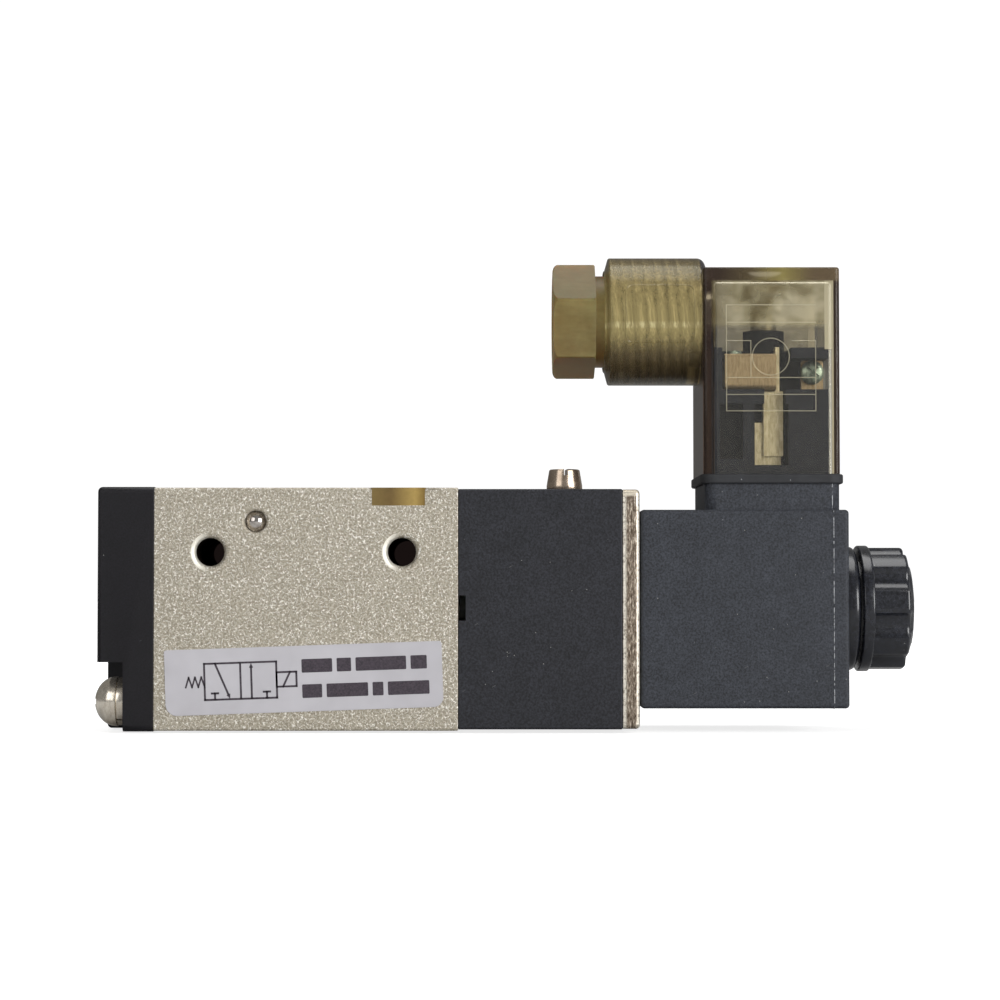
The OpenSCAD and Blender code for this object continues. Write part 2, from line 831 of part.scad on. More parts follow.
module connector_gasket() {
    skirt_bottom = 14;
    hole_w = neck_w + 0.1;
    hole_d = conn_depth + 0.1;
    rim = 0.4;
    color("#161719") difference() {
        z_bar(skirt_bottom, conn_bottom - gap, hole_w + 2 * rim, hole_d + 2 * rim, neck_corner_r + rim,
              neck_mid);
        z_bar(skirt_bottom - eps, neck_top + gap, hole_w, hole_d, neck_corner_r, neck_mid);
        blades_shape(neck_top - eps, conn_bottom + eps, 0.1);
        z_cyl(neck_top - eps, conn_bottom + eps, m3_clear_r, conn_x);
    }
}

module connector_housing() {
    corner_r = 0.9;
    boss_r = 3.6;
    boss_bottom = 33.4;
    screw_hole_r = 1.75;
    color([0.62, 0.57, 0.4, 0.5]) difference() {
        union() {
            difference() {
                z_bar(conn_bottom, conn_top, conn_len, conn_depth, corner_r, conn_x);
                box([cavity_left, -conn_depth / 2 + wall, conn_bottom - eps],
                    [cavity_right, conn_depth / 2 - wall, cavity_top]);
            }
            z_cyl(boss_bottom, cavity_top + eps, boss_r, conn_x);
            x_turned([[barrel_left, 0], [barrel_left, gland_bore_r + 0.1], [barrel_left + 0.8, barrel_r],
                      [barrel_right - 0.9, barrel_r], [barrel_right - 0.25, barrel_r - 0.3],
                      [barrel_right, barrel_r - 0.9], [barrel_right, 0]], 0, gland_z);
        }
        x_cyl(barrel_left - eps, bush_left, gland_bore_r, 0, gland_z);
        x_cyl(bush_left - eps, bush_right, bush_r + 0.05, 0, gland_z);
        x_cyl(bush_right - eps, cavity_left + eps, wire_r, 0, gland_z);
        z_cyl(fixing_seat, conn_top + eps, fixing_head_r + 0.3, conn_x);
        z_cyl(boss_bottom - eps, conn_top, screw_hole_r, conn_x);
    }
}

// Pocket for a power contact, open to the side that faces out
module contact_pocket_cut() {
    span = [conn_x - 1.7, conn_x + 2.1];
    mouth = [conn_x - 0.6, conn_x + 1.8];
    mouth_y = -7.2;
    middle_y = -5.4;
    inner_y = -2.9;
    window = [leaf_bottom - 1.1, 23];
    box([span[0], mouth_y, window[0]], [span[1], inner_y, window[1]]);
    box([mouth[0], mouth_y, leaf_bottom], [mouth[1], inner_y, block_top + eps]);
    box([span[0], middle_y, pocket_floor], [span[1], inner_y, block_top + eps]);
}

module earth_pocket_cut() {
    box([earth_x - 1.1, -2, pocket_floor], [earth_x + 1.1, 2, block_top - 1]);
}

module terminal_block() {
    block_left = cavity_left + 0.1;
    block_right = cavity_right - 0.1;
    half_d = conn_depth / 2 - wall - 0.1;
    upper = 29.3;
    end_wall = 0.9;
    bridge = [54.2, 28.1];         // left edge and underside of the bar over the earth screw
    rib_half_w = 2.3;
    side_recess = [46.2, 48.8];
    color("#202227") difference() {
        union() {
            box([block_left, -half_d, conn_bottom], [block_right, half_d, block_top]);
            box([block_left, -half_d, block_top], [block_left + end_wall, half_d, upper]);
            box([bridge[0], -half_d, bridge[1]], [block_right, half_d, upper]);
            box([block_left, -rib_half_w, block_top], [block_right, rib_half_w, upper]);
            z_cyl(block_top, post_top, post_r, conn_x);
        }
        for (side = [0, 1])
            mirror([0, side, 0]) {
                contact_pocket_cut();
                box([side_recess[0], -half_d - eps, 16.8], [side_recess[1], -half_d + 1.2, 23]);
            }
        earth_pocket_cut();
        blades_shape(conn_bottom - eps, blade_top + 1, 0.1);
        z_cyl(conn_bottom - eps, post_top + eps, m3_clear_r, conn_x);
        y_cyl(earth_plate_y[0], -m2_r, m2_tap_r, earth_screw_x, earth_screw_z);
    }
}

// Two leaves about a blade and the strap that joins their tops
module leaf_pair(half_x, half_y, top) {
    strap_h = leaf_t;
    for (side = [0, 1])
        mirror([0, side, 0]) box([-half_x, leaf_gap, leaf_bottom], [half_x, half_y, top]);
    box([-half_x, -half_y, top - strap_h], [half_x, half_y, top]);
}

// Power contact; the plate at its side runs up past the clamp
module power_contact() {
    half_x = 1.1;
    half_y = leaf_gap + leaf_t;
    top = 24.5;
    plate_x = [0.25, 0.7];
    plate_top = 29.5;
    translate([conn_x + 0.6, -blade_y, 0]) {
        leaf_pair(half_x, half_y, top);
        box([plate_x[0], -half_y, top - 0.6], [plate_x[1], half_y, plate_top]);
    }
}

module earth_contact() {
    half_w = 1.2;
    top = 22.6;
    translate([earth_x, 0, 0]) rotate(90) leaf_pair(half_w, leaf_gap + leaf_t, top);
}

module terminal_contacts() {
    color("#c9b27a") {
        power_contact();
        mirror([0, 1, 0]) power_contact();
        earth_contact();
    }
}

// Wire cage: a box open at both ends along X, with a tapped hole in its top
module clamp_cage() {
    span = [46.8, 52.6];
    t = 0.6;
    difference() {
        box([span[0], clamp_y[0], clamp_bottom], [span[1], clamp_y[1], clamp_top]);
        box([span[0] - eps, clamp_y[0] + t, clamp_bottom + t],
            [span[1] + eps, clamp_y[1] - t, clamp_top - t]);
        z_cyl(clamp_top - t - eps, clamp_top + eps, m2_tap_r, clamp_screw_x, clamp_screw_y);
    }
}

module terminal_clamps() {
    color("#b28a54") {
        clamp_cage();
        mirror([0, 1, 0]) clamp_cage();
        difference() {
            box([55.6, earth_plate_y[0], clamp_bottom], [58.1, earth_plate_y[1], 28.05]);
            y_cyl(earth_plate_y[0] - eps, earth_plate_y[1] + eps, m2_tap_r, earth_screw_x, earth_screw_z);
        }
    }
}

// Slotted grub screw in the top of a clamp
module clamp_screw() {
    bottom = 26.4;
    top = 29.1;
    slot_w = 0.35;
    slot_depth = 0.5;
    translate([clamp_screw_x, clamp_screw_y, 0]) difference() {
        z_cyl(bottom, top, m2_r);
        box([-m2_r - eps, -slot_w / 2, top - slot_depth], [m2_r + eps, slot_w / 2, top + eps]);
    }
}

// Cross-headed screw that faces the front
module earth_screw() {
    head_r = 1.35;
    head_y = [-5.4, earth_plate_y[0] - gap];
    tip_y = -1.2;
    cross = [1.8, 0.35, 0.5];      // span, width and depth of the cross recess
    cross_turn = 40;
    translate([earth_screw_x, 0, earth_screw_z]) difference() {
        union() {
            y_cyl(head_y[0], head_y[1], head_r);
            y_cyl(head_y[1], tip_y, m2_r);
        }
        for (turn = [0, 90])
            rotate([0, cross_turn + turn, 0])
                box([-cross[0] / 2, head_y[0] - eps, -cross[1] / 2],
                    [cross[0] / 2, head_y[0] + cross[2], cross[1] / 2]);
    }
}

module terminal_screws() {
    color("#aab2a6") {
        clamp_screw();
        mirror([0, 1, 0]) clamp_screw();
        earth_screw();
    }
}

module connector_screw() {
    head_bottom = fixing_seat + fixing_seal_t + gap;
    head_top = head_bottom + fixing_head_h;
    shank_r = m3_r - gap;
    slot_w = 0.7;
    slot_depth = 0.9;
    color("#cfcbc4") translate([conn_x, 0, 0]) difference() {
        z_turned([[fixing_tip, 0], [fixing_tip, 1], [fixing_tip + 0.5, shank_r], [head_bottom, shank_r],
                  [head_bottom, fixing_head_r], [head_top - 0.4, fixing_head_r],
                  [head_top, fixing_head_r - 0.6], [head_top, 0]]);
        box([-slot_w / 2, -fixing_head_r - eps, head_top - slot_depth],
            [slot_w / 2, fixing_head_r + eps, head_top + eps]);
    }
}

module connector_screw_seal() {
    color("#202020") difference() {
        z_cyl(fixing_seat + gap, fixing_seat + fixing_seal_t, fixing_head_r, conn_x);
        z_cyl(fixing_seat - eps, fixing_seat + eps + fixing_seal_t, m3_r + gap, conn_x);
    }
}

// ---- Cable gland ---------------------------------------------------------------------------------

module gland_nut() {
    neck_r = 5.25;
    hex_r = hex_across_flats / 2 / cos(30);
    mouth_chamfer = 0.7;
    hex_turn = 43;                 // angle of one corner above the horizontal, seen from the cable end
    hex_right = gland_left + hex_len;
    color("#8d7f55") translate([0, 0, gland_z]) difference() {
        union() {
            intersection() {
                translate([gland_left, 0, 0]) rotate([hex_turn, 0, 0]) rotate([0, 90, 0])
                    cylinder(h = hex_len, r = hex_r, $fn = 6);
                x_turned([[gland_left, 0], [gland_left, hex_r - 0.8], [gland_left + 0.7, hex_r + 0.1],
                          [hex_right - 0.3, hex_r + 0.1], [hex_right, hex_r - 0.2], [hex_right, 0]]);
            }
            x_cyl(hex_right - eps, barrel_left + 0.6, neck_r);
            x_cyl(barrel_left + 0.4, gland_thread_end, gland_thread_r);
        }
        x_cyl(gland_left - eps, gland_thread_end + eps, cable_r);
        x_cone(gland_left, gland_left + mouth_chamfer, cable_r + mouth_chamfer, cable_r);
    }
}

module gland_washer() {
    color("#3a3a3a") difference() {
        x_cyl(gland_thread_end + gap, gland_thread_end + gland_washer_t, bush_r + 0.3, 0, gland_z);
        x_cyl(gland_thread_end - eps, bush_left + eps, cable_r + 0.2, 0, gland_z);
    }
}

module gland_bush() {
    squeeze = 0.4;                 // the bush grips a cable that is thinner than the nut's hole
    color("#4a463c") difference() {
        x_cyl(bush_left, bush_right - gap, bush_r, 0, gland_z);
        x_cyl(bush_left - eps, bush_right + eps, cable_r - squeeze, 0, gland_z);
    }
}

// ---- Label ---------------------------------------------------------------------------------------

module label() {
    corner_r = 1.1;
    color("#c8c6cd") translate([label_x, front, label_z]) rotate([0, -label_tilt, 0]) rotate([90, 0, 0])
        linear_extrude(label_t) rounded_rect(label_w, label_h, corner_r);
}

// ---- Assembly ------------------------------------------------------------------------------------

place() valve_body();
place() channel_ball();
place() pilot_channel_plug();
place() end_cap();
place() end_cap_gasket();
place() end_cap_screws();
place() end_cap_washers();
place() return_spring();
place() spool();
place() spool_seals();
place() pilot_piston();
place() piston_seal();
place() pilot_gasket();
place() pilot_housing();
place() override_button();
place() override_seal();
place() override_spring();
place() override_pin();
place() coil_plate();
place() plate_screws();
place() armature_tube();
place() tube_seal();
place() fixed_core();
place() armature();
place() armature_seal_pad();
place() armature_spring();
place() coil_moulding();
place() coil_bobbin();
place() coil_winding();
place() coil_yoke();
place() contact_blades();
place() coil_nut();
place() nut_seal();
place() connector_gasket();
place() connector_housing();
place() terminal_block();
place() terminal_contacts();
place() terminal_clamps();
place() terminal_screws();
place() connector_screw();
place() connector_screw_seal();
place() gland_nut();
place() gland_washer();
place() gland_bush();
place() label();
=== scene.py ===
"""Looks of the solenoid directional valve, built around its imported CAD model.

Shapes are drawn in millimetres in the CAD's own frame and scaled to metres when a piece is finished.
Positions come from the CAD nodes' boxes. X runs from the end cap to the coil, Y from front to rear.
"""

import json
import math

import bmesh
import bpy
from mathutils import Matrix, Vector

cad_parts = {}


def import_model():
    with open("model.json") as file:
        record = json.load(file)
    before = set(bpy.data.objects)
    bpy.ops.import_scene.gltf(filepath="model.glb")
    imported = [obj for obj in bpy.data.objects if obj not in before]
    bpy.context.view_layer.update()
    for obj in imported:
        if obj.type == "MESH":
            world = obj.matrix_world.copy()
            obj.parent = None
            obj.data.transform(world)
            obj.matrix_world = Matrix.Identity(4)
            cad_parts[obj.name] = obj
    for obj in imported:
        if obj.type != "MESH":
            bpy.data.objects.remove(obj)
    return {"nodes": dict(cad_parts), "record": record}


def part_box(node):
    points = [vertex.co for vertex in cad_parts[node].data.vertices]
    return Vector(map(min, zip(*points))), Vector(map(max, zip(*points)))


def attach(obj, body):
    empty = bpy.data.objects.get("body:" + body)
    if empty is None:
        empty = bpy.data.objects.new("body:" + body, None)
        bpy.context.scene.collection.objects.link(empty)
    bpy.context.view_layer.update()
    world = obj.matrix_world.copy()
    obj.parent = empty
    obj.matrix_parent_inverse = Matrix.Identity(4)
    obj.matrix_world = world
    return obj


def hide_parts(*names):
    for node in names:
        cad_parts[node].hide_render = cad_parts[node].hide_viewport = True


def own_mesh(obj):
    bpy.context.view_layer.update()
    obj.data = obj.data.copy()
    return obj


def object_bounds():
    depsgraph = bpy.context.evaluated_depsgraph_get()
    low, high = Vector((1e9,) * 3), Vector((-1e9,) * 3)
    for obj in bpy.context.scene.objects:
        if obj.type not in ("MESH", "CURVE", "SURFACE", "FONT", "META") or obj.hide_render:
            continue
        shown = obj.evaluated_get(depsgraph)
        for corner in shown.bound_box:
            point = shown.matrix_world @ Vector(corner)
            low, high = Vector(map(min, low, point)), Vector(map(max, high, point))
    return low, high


MM = 0.001
TAU = 2 * math.pi

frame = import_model()
cad_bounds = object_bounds()
record = frame["record"]
BODY_OF = {n: b for b, nodes in record["behaviour"]["bodies"].items() for n in nodes}
SLOT_OF = {s["node"]: s["material_slot"] for s in record["subparts"]}


def box_mm(node):
    """Lowest and highest corner of a CAD node, in millimetres."""
    lo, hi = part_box(node)
    return lo / MM, hi / MM


def mount_named(name):
    return next(m for m in record["mounts"] if m["name"] == name)


# ---- Places worked out from the frame ----------------------------------------------------------

TUBE_LO, TUBE_HI = box_mm("armature_tube")
SPOOL_Y = (TUBE_LO.y + TUBE_HI.y) / 2
SPOOL_Z = (TUBE_LO.z + TUBE_HI.z) / 2
GLAND_LO, GLAND_HI = box_mm("gland_nut")
GLAND_Z = (GLAND_LO.z + GLAND_HI.z) / 2
CONN_LO, CONN_HI = box_mm("connector_housing")
FIX_LO, FIX_HI = box_mm("connector_screw")
CONN_X = (FIX_LO.x + FIX_HI.x) / 2
BLOCK_LEFT = 2 * CONN_X - CONN_HI.x
BLOCK_RIGHT = CONN_HI.x + 0.3
BLOCK_TOP = FIX_HI.z + 0.58
TERMINALS_TOP = box_mm("terminal_clamps")[1].z + 0.6
EARTH_HEAD_R = 1.35
GLAND_PITCH = 1.27
NUT_PITCH = 0.75


# ---- Mesh helpers ------------------------------------------------------------------------------


def mesh_object(name, bm):
    """Object from a bmesh in millimetres, welded and with outward normals."""
    bmesh.ops.remove_doubles(bm, verts=bm.verts, dist=1e-5)
    bmesh.ops.recalc_face_normals(bm, faces=bm.faces)
    mesh = bpy.data.meshes.new(name)
    bm.to_mesh(mesh)
    bm.free()
    obj = bpy.data.objects.new(name, mesh)
    bpy.context.scene.collection.objects.link(obj)
    return obj


def on_axis(axis, along, u, v, origin):
    """Point at a distance along an axis and (u, v) across it, turning right-handed about the axis."""
    local = {"X": (along, u, v), "Y": (v, along, u), "Z": (u, v, along)}[axis]
    return Vector(local) + Vector(origin)


def arc(centre, radius, start, end, steps=6):
    """Points (along, radius) on an arc, angles in degrees."""
    angles = [math.radians(start + (end - start) * i / steps) for i in range(steps + 1)]
    return [(centre[0] + radius * math.cos(a), centre[1] + radius * math.sin(a)) for a in angles]


def lathe(name, profile, origin=(0, 0, 0), axis="X", segs=96, ring=False):
    """Turned solid. profile is [(along, radius)]; ring=True closes a hollow section."""
    bm = bmesh.new()
    rings = []
    for along, r in profile:
        if r < 1e-6:
            rings.append([bm.verts.new(on_axis(axis, along, 0, 0, origin))])
            continue
        circle = [(r * math.cos(TAU * i / segs), r * math.sin(TAU * i / segs)) for i in range(segs)]
        rings.append([bm.verts.new(on_axis(axis, along, u, v, origin)) for u, v in circle])
    pairs = list(zip(rings, rings[1:]))
    if ring:
        pairs.append((rings[-1], rings[0]))
    for a, b in pairs:
        for i in range(segs):
            j = (i + 1) % segs
            quad = [a[i % len(a)], a[j % len(a)], b[j % len(b)], b[i % len(b)]]
            corners = list(dict.fromkeys(quad))
            if len(corners) > 2:
                bm.faces.new(corners)
    return mesh_object(name, bm)


def rod(name, start, end, r, origin, axis="X", segs=64):
    return lathe(name, [(start, 0), (start, r), (end, r), (end, 0)], origin, axis, segs)


def bar(name, lo, hi, axis="X", side_r=0.0, end_r=(0.0, 0.0), segs=5):
    """Box whose four edges along axis have radius side_r and whose two end outlines have end_r."""
    index = "XYZ".index(axis)
    lo, hi = Vector(lo), Vector(hi)
    bm = bmesh.new()
    bmesh.ops.create_cube(bm, size=1)
    for v in bm.verts:
        v.co = Vector([lo[i] + (v.co[i] + 0.5) * (hi[i] - lo[i]) for i in range(3)])
    if side_r > 0:
        edges = [e for e in bm.edges if abs(e.verts[0].co[index] - e.verts[1].co[index]) > 1e-6]
        bmesh.ops.bevel(bm, geom=edges, offset=side_r, segments=segs, profile=0.5, affect="EDGES")
    for place, r in ((lo[index], end_r[0]), (hi[index], end_r[1])):
        if r <= 0:
            continue
        edges = [e for e in bm.edges if all(abs(v.co[index] - place) < 1e-6 for v in e.verts)]
        bmesh.ops.bevel(bm, geom=edges, offset=r, segments=segs, profile=0.5, affect="EDGES")
    return mesh_object(name, bm)


def sweep(name, path, section, closed=False):
    """Closed solid from a section [(u, v)] carried along a path of points; v stays near the path's normal."""
    bm = bmesh.new()
    count = len(path)
    rings = []
    normal = None
    for i, p in enumerate(path):
        before = path[i - 1] if i or closed else path[0]
        after = path[(i + 1) % count] if i < count - 1 or closed else path[-1]
        tangent = (after - before).normalized()
        if normal is None:
            normal = tangent.orthogonal().normalized()
        normal = (normal - tangent * normal.dot(tangent)).normalized()
        side = tangent.cross(normal)
        rings.append([bm.verts.new(p + side * u + normal * v) for u, v in section])
    last = count if closed else count - 1
    for i in range(last):
        a, b = rings[i], rings[(i + 1) % count]
        for k in range(len(section)):
            n = (k + 1) % len(section)
            bm.faces.new([a[k], a[n], b[n], b[k]])
    if not closed:
        bm.faces.new(rings[0])
        bm.faces.new(rings[-1])
    return mesh_object(name, bm)


def round_section(r, sides=8):
    return [(r * math.cos(TAU * i / sides), r * math.sin(TAU * i / sides)) for i in range(sides)]


def helix(name, start, end, pitch, section, origin, axis="X", segs=48):
    """Screw thread: a section [(along, radius)] swept right-handed about the axis."""
    bm = bmesh.new()
    steps = int((end - start) / pitch * segs)
    rings = []
    for i in range(steps + 1):
        t = TAU * i / segs
        centre = start + pitch * i / segs
        ring = [on_axis(axis, centre + a, r * math.cos(t), r * math.sin(t), origin) for a, r in section]
        rings.append([bm.verts.new(p) for p in ring])
    for a, b in zip(rings, rings[1:]):
        for k in range(len(section)):
            n = (k + 1) % len(section)
            bm.faces.new([a[k], a[n], b[n], b[k]])
    bm.faces.new(rings[0])
    bm.faces.new(rings[-1])
    return mesh_object(name, bm)


def thread_section(root, crest, width, flat=0.15):
    """Section of one thread ridge; crest may be inside or outside the root."""
    return [(-width / 2, root), (-flat / 2, crest), (flat / 2, crest), (width / 2, root)]


def cad_copy(name, node):
    """The CAD node's own shape as a new mesh in millimetres."""
    bm = bmesh.new()
    bm.from_mesh(frame["nodes"][node].data)
    bmesh.ops.scale(bm, vec=(1 / MM,) * 3, verts=bm.verts)
    return mesh_object(name, bm)


def combine(target, tool, operation):
    """Boolean of target with tool, applied; the tool is removed."""
    modifier = target.modifiers.new("combine", "BOOLEAN")
    modifier.object = tool
    modifier.operation = operation
    modifier.solver = "MANIFOLD"
    depsgraph = bpy.context.evaluated_depsgraph_get()
    result = bpy.data.meshes.new_from_object(target.evaluated_get(depsgraph))
    target.modifiers.clear()
    old = target.data
    target.data = result
    bpy.data.meshes.remove(old)
    bpy.data.objects.remove(tool)
    if not result.polygons:
        raise RuntimeError(f"{operation} on {target.name} left nothing")
    return target


def cut(target, *tools):
    for tool in tools:
        combine(target, tool, "DIFFERENCE")
    return target


def join(target, *tools):
    for tool in tools:
        combine(target, tool, "UNION")
    return target


def trim(target, tool):
    return combine(target, tool, "INTERSECT")


def smooth(obj, angle):
    """Smooth shading with edges sharper than angle kept, and flat faces kept flat."""
    obj.data.shade_smooth()
    obj.data.set_sharp_from_angle(angle=math.radians(angle))
    weighted = obj.modifiers.new("weighted_normals", "WEIGHTED_NORMAL")
    weighted.keep_sharp = True


def spin_about(obj, centre, angle, axis):
    """Turns a mesh about a line through centre."""
    there = Matrix.Translation(centre)
    obj.data.transform(there @ Matrix.Rotation(angle, 4, axis) @ there.inverted())


def finish_piece(obj, node, material=None, angle=32):
    """Scales a piece to metres, gives it its material, and puts it in place of a CAD node."""
    obj.data.transform(Matrix.Scale(MM, 4))
    obj.data.materials.clear()
    obj.data.materials.append(material or MATERIALS[SLOT_OF[node]])
    smooth(obj, angle)
    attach(obj, BODY_OF[node])
    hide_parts(node)


# ---- Material helpers --------------------------------------------------------------------------


def linear(r, g, b):
    """Linear colour from 0 to 255 screen values."""
    values = [c / 255 for c in (r, g, b)]
    return tuple(c / 12.92 if c <= 0.04045 else ((c + 0.055) / 1.055) ** 2.4 for c in values)


def scaled(tone, factor):
    return tuple(min(c * factor, 1.0) for c in tone)


class Look:
    """A small builder for one procedural material, or for the world around the object."""

    def __init__(self, name, world=False):
        self.owner = (bpy.data.worlds if world else bpy.data.materials).new(name)
        self.owner.use_nodes = True
        self.tree = self.owner.node_tree
        self.tree.nodes.clear()
        self.output = self.add("OutputWorld" if world else "OutputMaterial")
        self.place = self.add("TexCoord").outputs["Generated" if world else "Object"]

    def add(self, kind, inputs=None, **settings):
        node = self.tree.nodes.new("ShaderNode" + kind)
        for key, value in settings.items():
            setattr(node, key, value)
        for key, value in (inputs or {}).items():
            if isinstance(value, bpy.types.NodeSocket):
                self.tree.links.new(value, node.inputs[key])
            elif isinstance(value, tuple) and len(value) == 3 and node.inputs[key].type == "RGBA":
                node.inputs[key].default_value = (*value, 1)
            else:
                node.inputs[key].default_value = value
        return node

    def stretched(self, x=1.0, y=1.0, z=1.0):
        """Object coordinates scaled along each axis."""
        return self.add("Mapping", {"Vector": self.place, "Scale": (x, y, z)}).outputs["Vector"]

    def noise(self, size_mm, detail=2.0, rough=0.5, vector=None):
        """Noise from 0 to 1 with features about size_mm across."""
        where = {"Vector": vector or self.place, "Scale": 1 / (size_mm * MM)}
        return self.add("TexNoise", {**where, "Detail": detail, "Roughness": rough}).outputs["Fac"]

    def ramp(self, value, *stops):
        """Colour ramp; a stop is (position, colour or grey value)."""
        node = self.add("ValToRGB", {"Fac": value})
        elements = node.color_ramp.elements
        while len(elements) < len(stops):
            elements.new(0.5)
        for element, (position, colour) in zip(elements, stops):
            element.position = position
            rgb = colour if isinstance(colour, tuple) else (colour,) * 3
            element.color = (*rgb, 1)
        return node.outputs["Color"]

    def blend(self, fac, a, b, mode="MIX"):
        node = self.add("Mix", {}, data_type="RGBA", blend_type=mode)
        for socket, value in ((node.inputs[0], fac), (node.inputs[6], a), (node.inputs[7], b)):
            if isinstance(value, bpy.types.NodeSocket):
                self.tree.links.new(value, socket)
            elif isinstance(value, tuple):
                socket.default_value = (*value, 1)
            else:
                socket.default_value = value
        return node.outputs[2]

    def math(self, operation, a, b=0.0):
        return self.add("Math", {0: a, 1: b}, operation=operation).outputs[0]

    def times(self, a, b):
        return self.math("MULTIPLY", a, b)

    def most(self, first, *others):
        """Largest of several values."""
        for value in others:
            first = self.math("MAXIMUM", first, value)
        return first

    def outside(self, mask):
        return self.math("SUBTRACT", 1.0, mask)

    def length(self, vector):
        return self.add("VectorMath", {0: vector}, operation="LENGTH").outputs["Value"]

    def some_cells(self, vector, scale, size, share):
        """Mask of the middles of a share of the cells, each up to size across."""
        cells = self.add("TexVoronoi", {"Vector": vector, "Scale": scale})
        near = self.math("LESS_THAN", cells.outputs["Distance"], size)
        pick = self.add("SeparateColor", {0: cells.outputs["Color"]}).outputs[0]
        return self.times(near, self.math("GREATER_THAN", pick, 1 - share))

    def specks(self, spacing_mm, size, share):
        """Mask of scattered dots: size is a share of the spacing, share how many cells hold one."""
        return self.some_cells(self.place, 1 / (spacing_mm * MM), size, share)

    def scratches(self, length_mm, width_mm, angle, share):
        """Mask of thin straight marks at an angle in the XZ plane."""
        turned = self.add("Mapping", {"Vector": self.place, "Rotation": (0, angle, 0)}).outputs["Vector"]
        thin = self.add("Mapping", {"Vector": turned, "Scale": (1 / length_mm, 1 / length_mm, 1 / width_mm)})
        return self.some_cells(thin.outputs["Vector"], 1 / MM, 0.16, share)

    def along(self, axis, start_mm, end_mm):
        """0 to 1 between two places on an axis."""
        split = self.add("SeparateXYZ", {0: self.place})
        inputs = {0: split.outputs["XYZ".index(axis)], 1: start_mm * MM, 2: end_mm * MM}
        return self.add("MapRange", inputs).outputs[0]

    def bump(self, height, strength, depth_mm):
        inputs = {"Height": height, "Strength": strength, "Distance": depth_mm * MM}
        return self.add("Bump", inputs).outputs["Normal"]

    def surface(self, colour, rough, metallic=0.0, normal=None, **more):
        inputs = {"Base Color": colour, "Roughness": rough, "Metallic": metallic}
        if normal is not None:
            inputs["Normal"] = normal
        inputs.update({key.replace("_", " "): value for key, value in more.items()})
        return self.add("BsdfPrincipled", inputs).outputs["BSDF"]

    def done(self, shader, volume=None):
        self.tree.links.new(shader, self.output.inputs["Surface"])
        if volume is not None:
            self.tree.links.new(volume, self.output.inputs["Volume"])
        return self.owner


# ---- Materials ---------------------------------------------------------------------------------


def body_aluminium():
    """Bead-blasted champagne anodising with fine painted highlights as thin squiggles; a painted highlight on
    the left of each side hole's chamfer and painted shade in the bores.
    """
    look = Look("body_aluminium")
    grain = look.noise(0.22, 3.0, 0.6)
    base = look.ramp(
        grain,
        (0.34, linear(144, 136, 120)),
        (0.5, linear(173, 165, 148)),
        (0.66, linear(200, 192, 176)),
    )
    # Painted highlights: thin near-white squiggles set into the base colour, with lower roughness there.
    waves = look.math("ABSOLUTE", look.math("SUBTRACT", look.noise(0.42, 1.0, 0.5), 0.5))
    worms = look.ramp(waves, (0.012, 1.0), (0.05, 0.0))
    here = look.ramp(look.noise(0.3, 2.0, 0.7), (0.46, 0.0), (0.55, 1.0))
    painted_glints = look.times(worms, here)
    base = look.blend(painted_glints, base, linear(254, 251, 243))
    patches = look.noise(9.0, 2.0)
    base = look.blend(0.15, base, look.ramp(patches, (0.3, 0.8), (0.7, 1.0)), "MULTIPLY")
    rough = look.ramp(painted_glints, (0.0, 0.58), (1.0, 0.36))

    holes = mount_named("side_holes")
    bore_r = holes["dims"]["hole_r_mm"]
    split = look.add("SeparateXYZ", {0: look.place})
    centre = look.times(look.math("SIGN", split.outputs[0]), holes["dims"]["spacing_x_mm"] / 2 * MM)
    across = look.math("SUBTRACT", split.outputs[0], centre)
    flat = look.add("CombineXYZ", {0: across, 2: split.outputs[2]})
    out = look.length(flat.outputs[0])
    in_chamfer = look.math("LESS_THAN", out, (bore_r + 0.64) * MM)
    in_bore = look.math("LESS_THAN", out, (bore_r + 0.02) * MM)
    # Painted highlight: the left part of each chamfer, which faces the light from the right, is coloured
    # near-white.
    left = look.add("MapRange", {0: across, 1: -0.2 * MM, 2: -1.3 * MM}).outputs[0]
    painted_chamfer_highlight = look.times(in_chamfer, left)
    base = look.blend(painted_chamfer_highlight, base, linear(246, 242, 230))
    # Painted shade: the bores are coloured near-black.
    base = look.blend(in_bore, base, linear(20, 14, 12))
    beyond_bore = look.outside(in_bore)
    metal = look.times(look.most(look.times(painted_chamfer_highlight, 0.8), 0.4), beyond_bore)
    rough = look.most(rough, in_bore)
    normal = look.bump(look.blend(0.5, grain, painted_glints), 0.4, 0.04)
    gloss = look.times(beyond_bore, 0.5)
    return look.done(look.surface(base, rough, metal, normal, Specular_IOR_Level=gloss))


def moulded_black(name, tone, rough, grain_mm, bump, dust=0.1, gloss=0.35, flash=None):
    """Black plastic: moulded grain, mottling, dust and handling marks; flash is the X of the parting flash,
    along which a broken line of painted highlight is drawn.
    """
    look = Look(name)
    mottle = look.noise(3.5, 3.0, 0.6)
    grain = look.noise(grain_mm, 2.0, 0.8)
    base = look.ramp(mottle, (0.3, scaled(tone, 0.86)), (0.7, scaled(tone, 1.15)))
    base = look.blend(0.9, base, look.ramp(grain, (0.36, 0.3), (0.64, 1.15)), "MULTIPLY")
    base = look.blend(look.times(look.specks(0.8, 0.07, dust), 0.5), base, linear(178, 178, 174))
    marks = look.times(look.scratches(1.6, 0.16, 0.5, 0.012), 0.35)
    base = look.blend(marks, base, linear(130, 130, 128))
    if flash:
        # Painted highlight: a thin broken near-white line along the parting flash.
        band = look.times(look.along("X", flash - 0.01, flash), look.along("X", flash + 0.09, flash + 0.08))
        broken = look.ramp(look.noise(0.5, 3.0, 0.7), (0.44, 0.0), (0.56, 0.75))
        base = look.blend(look.times(band, broken), base, linear(190, 192, 196))
    rough_map = look.ramp(grain, (0.3, rough * 0.9), (0.7, min(rough * 1.12, 1.0)))
    normal = look.bump(grain, bump, 0.03)
    return look.done(look.surface(base, rough_map, 0.0, normal, Specular_IOR_Level=gloss))


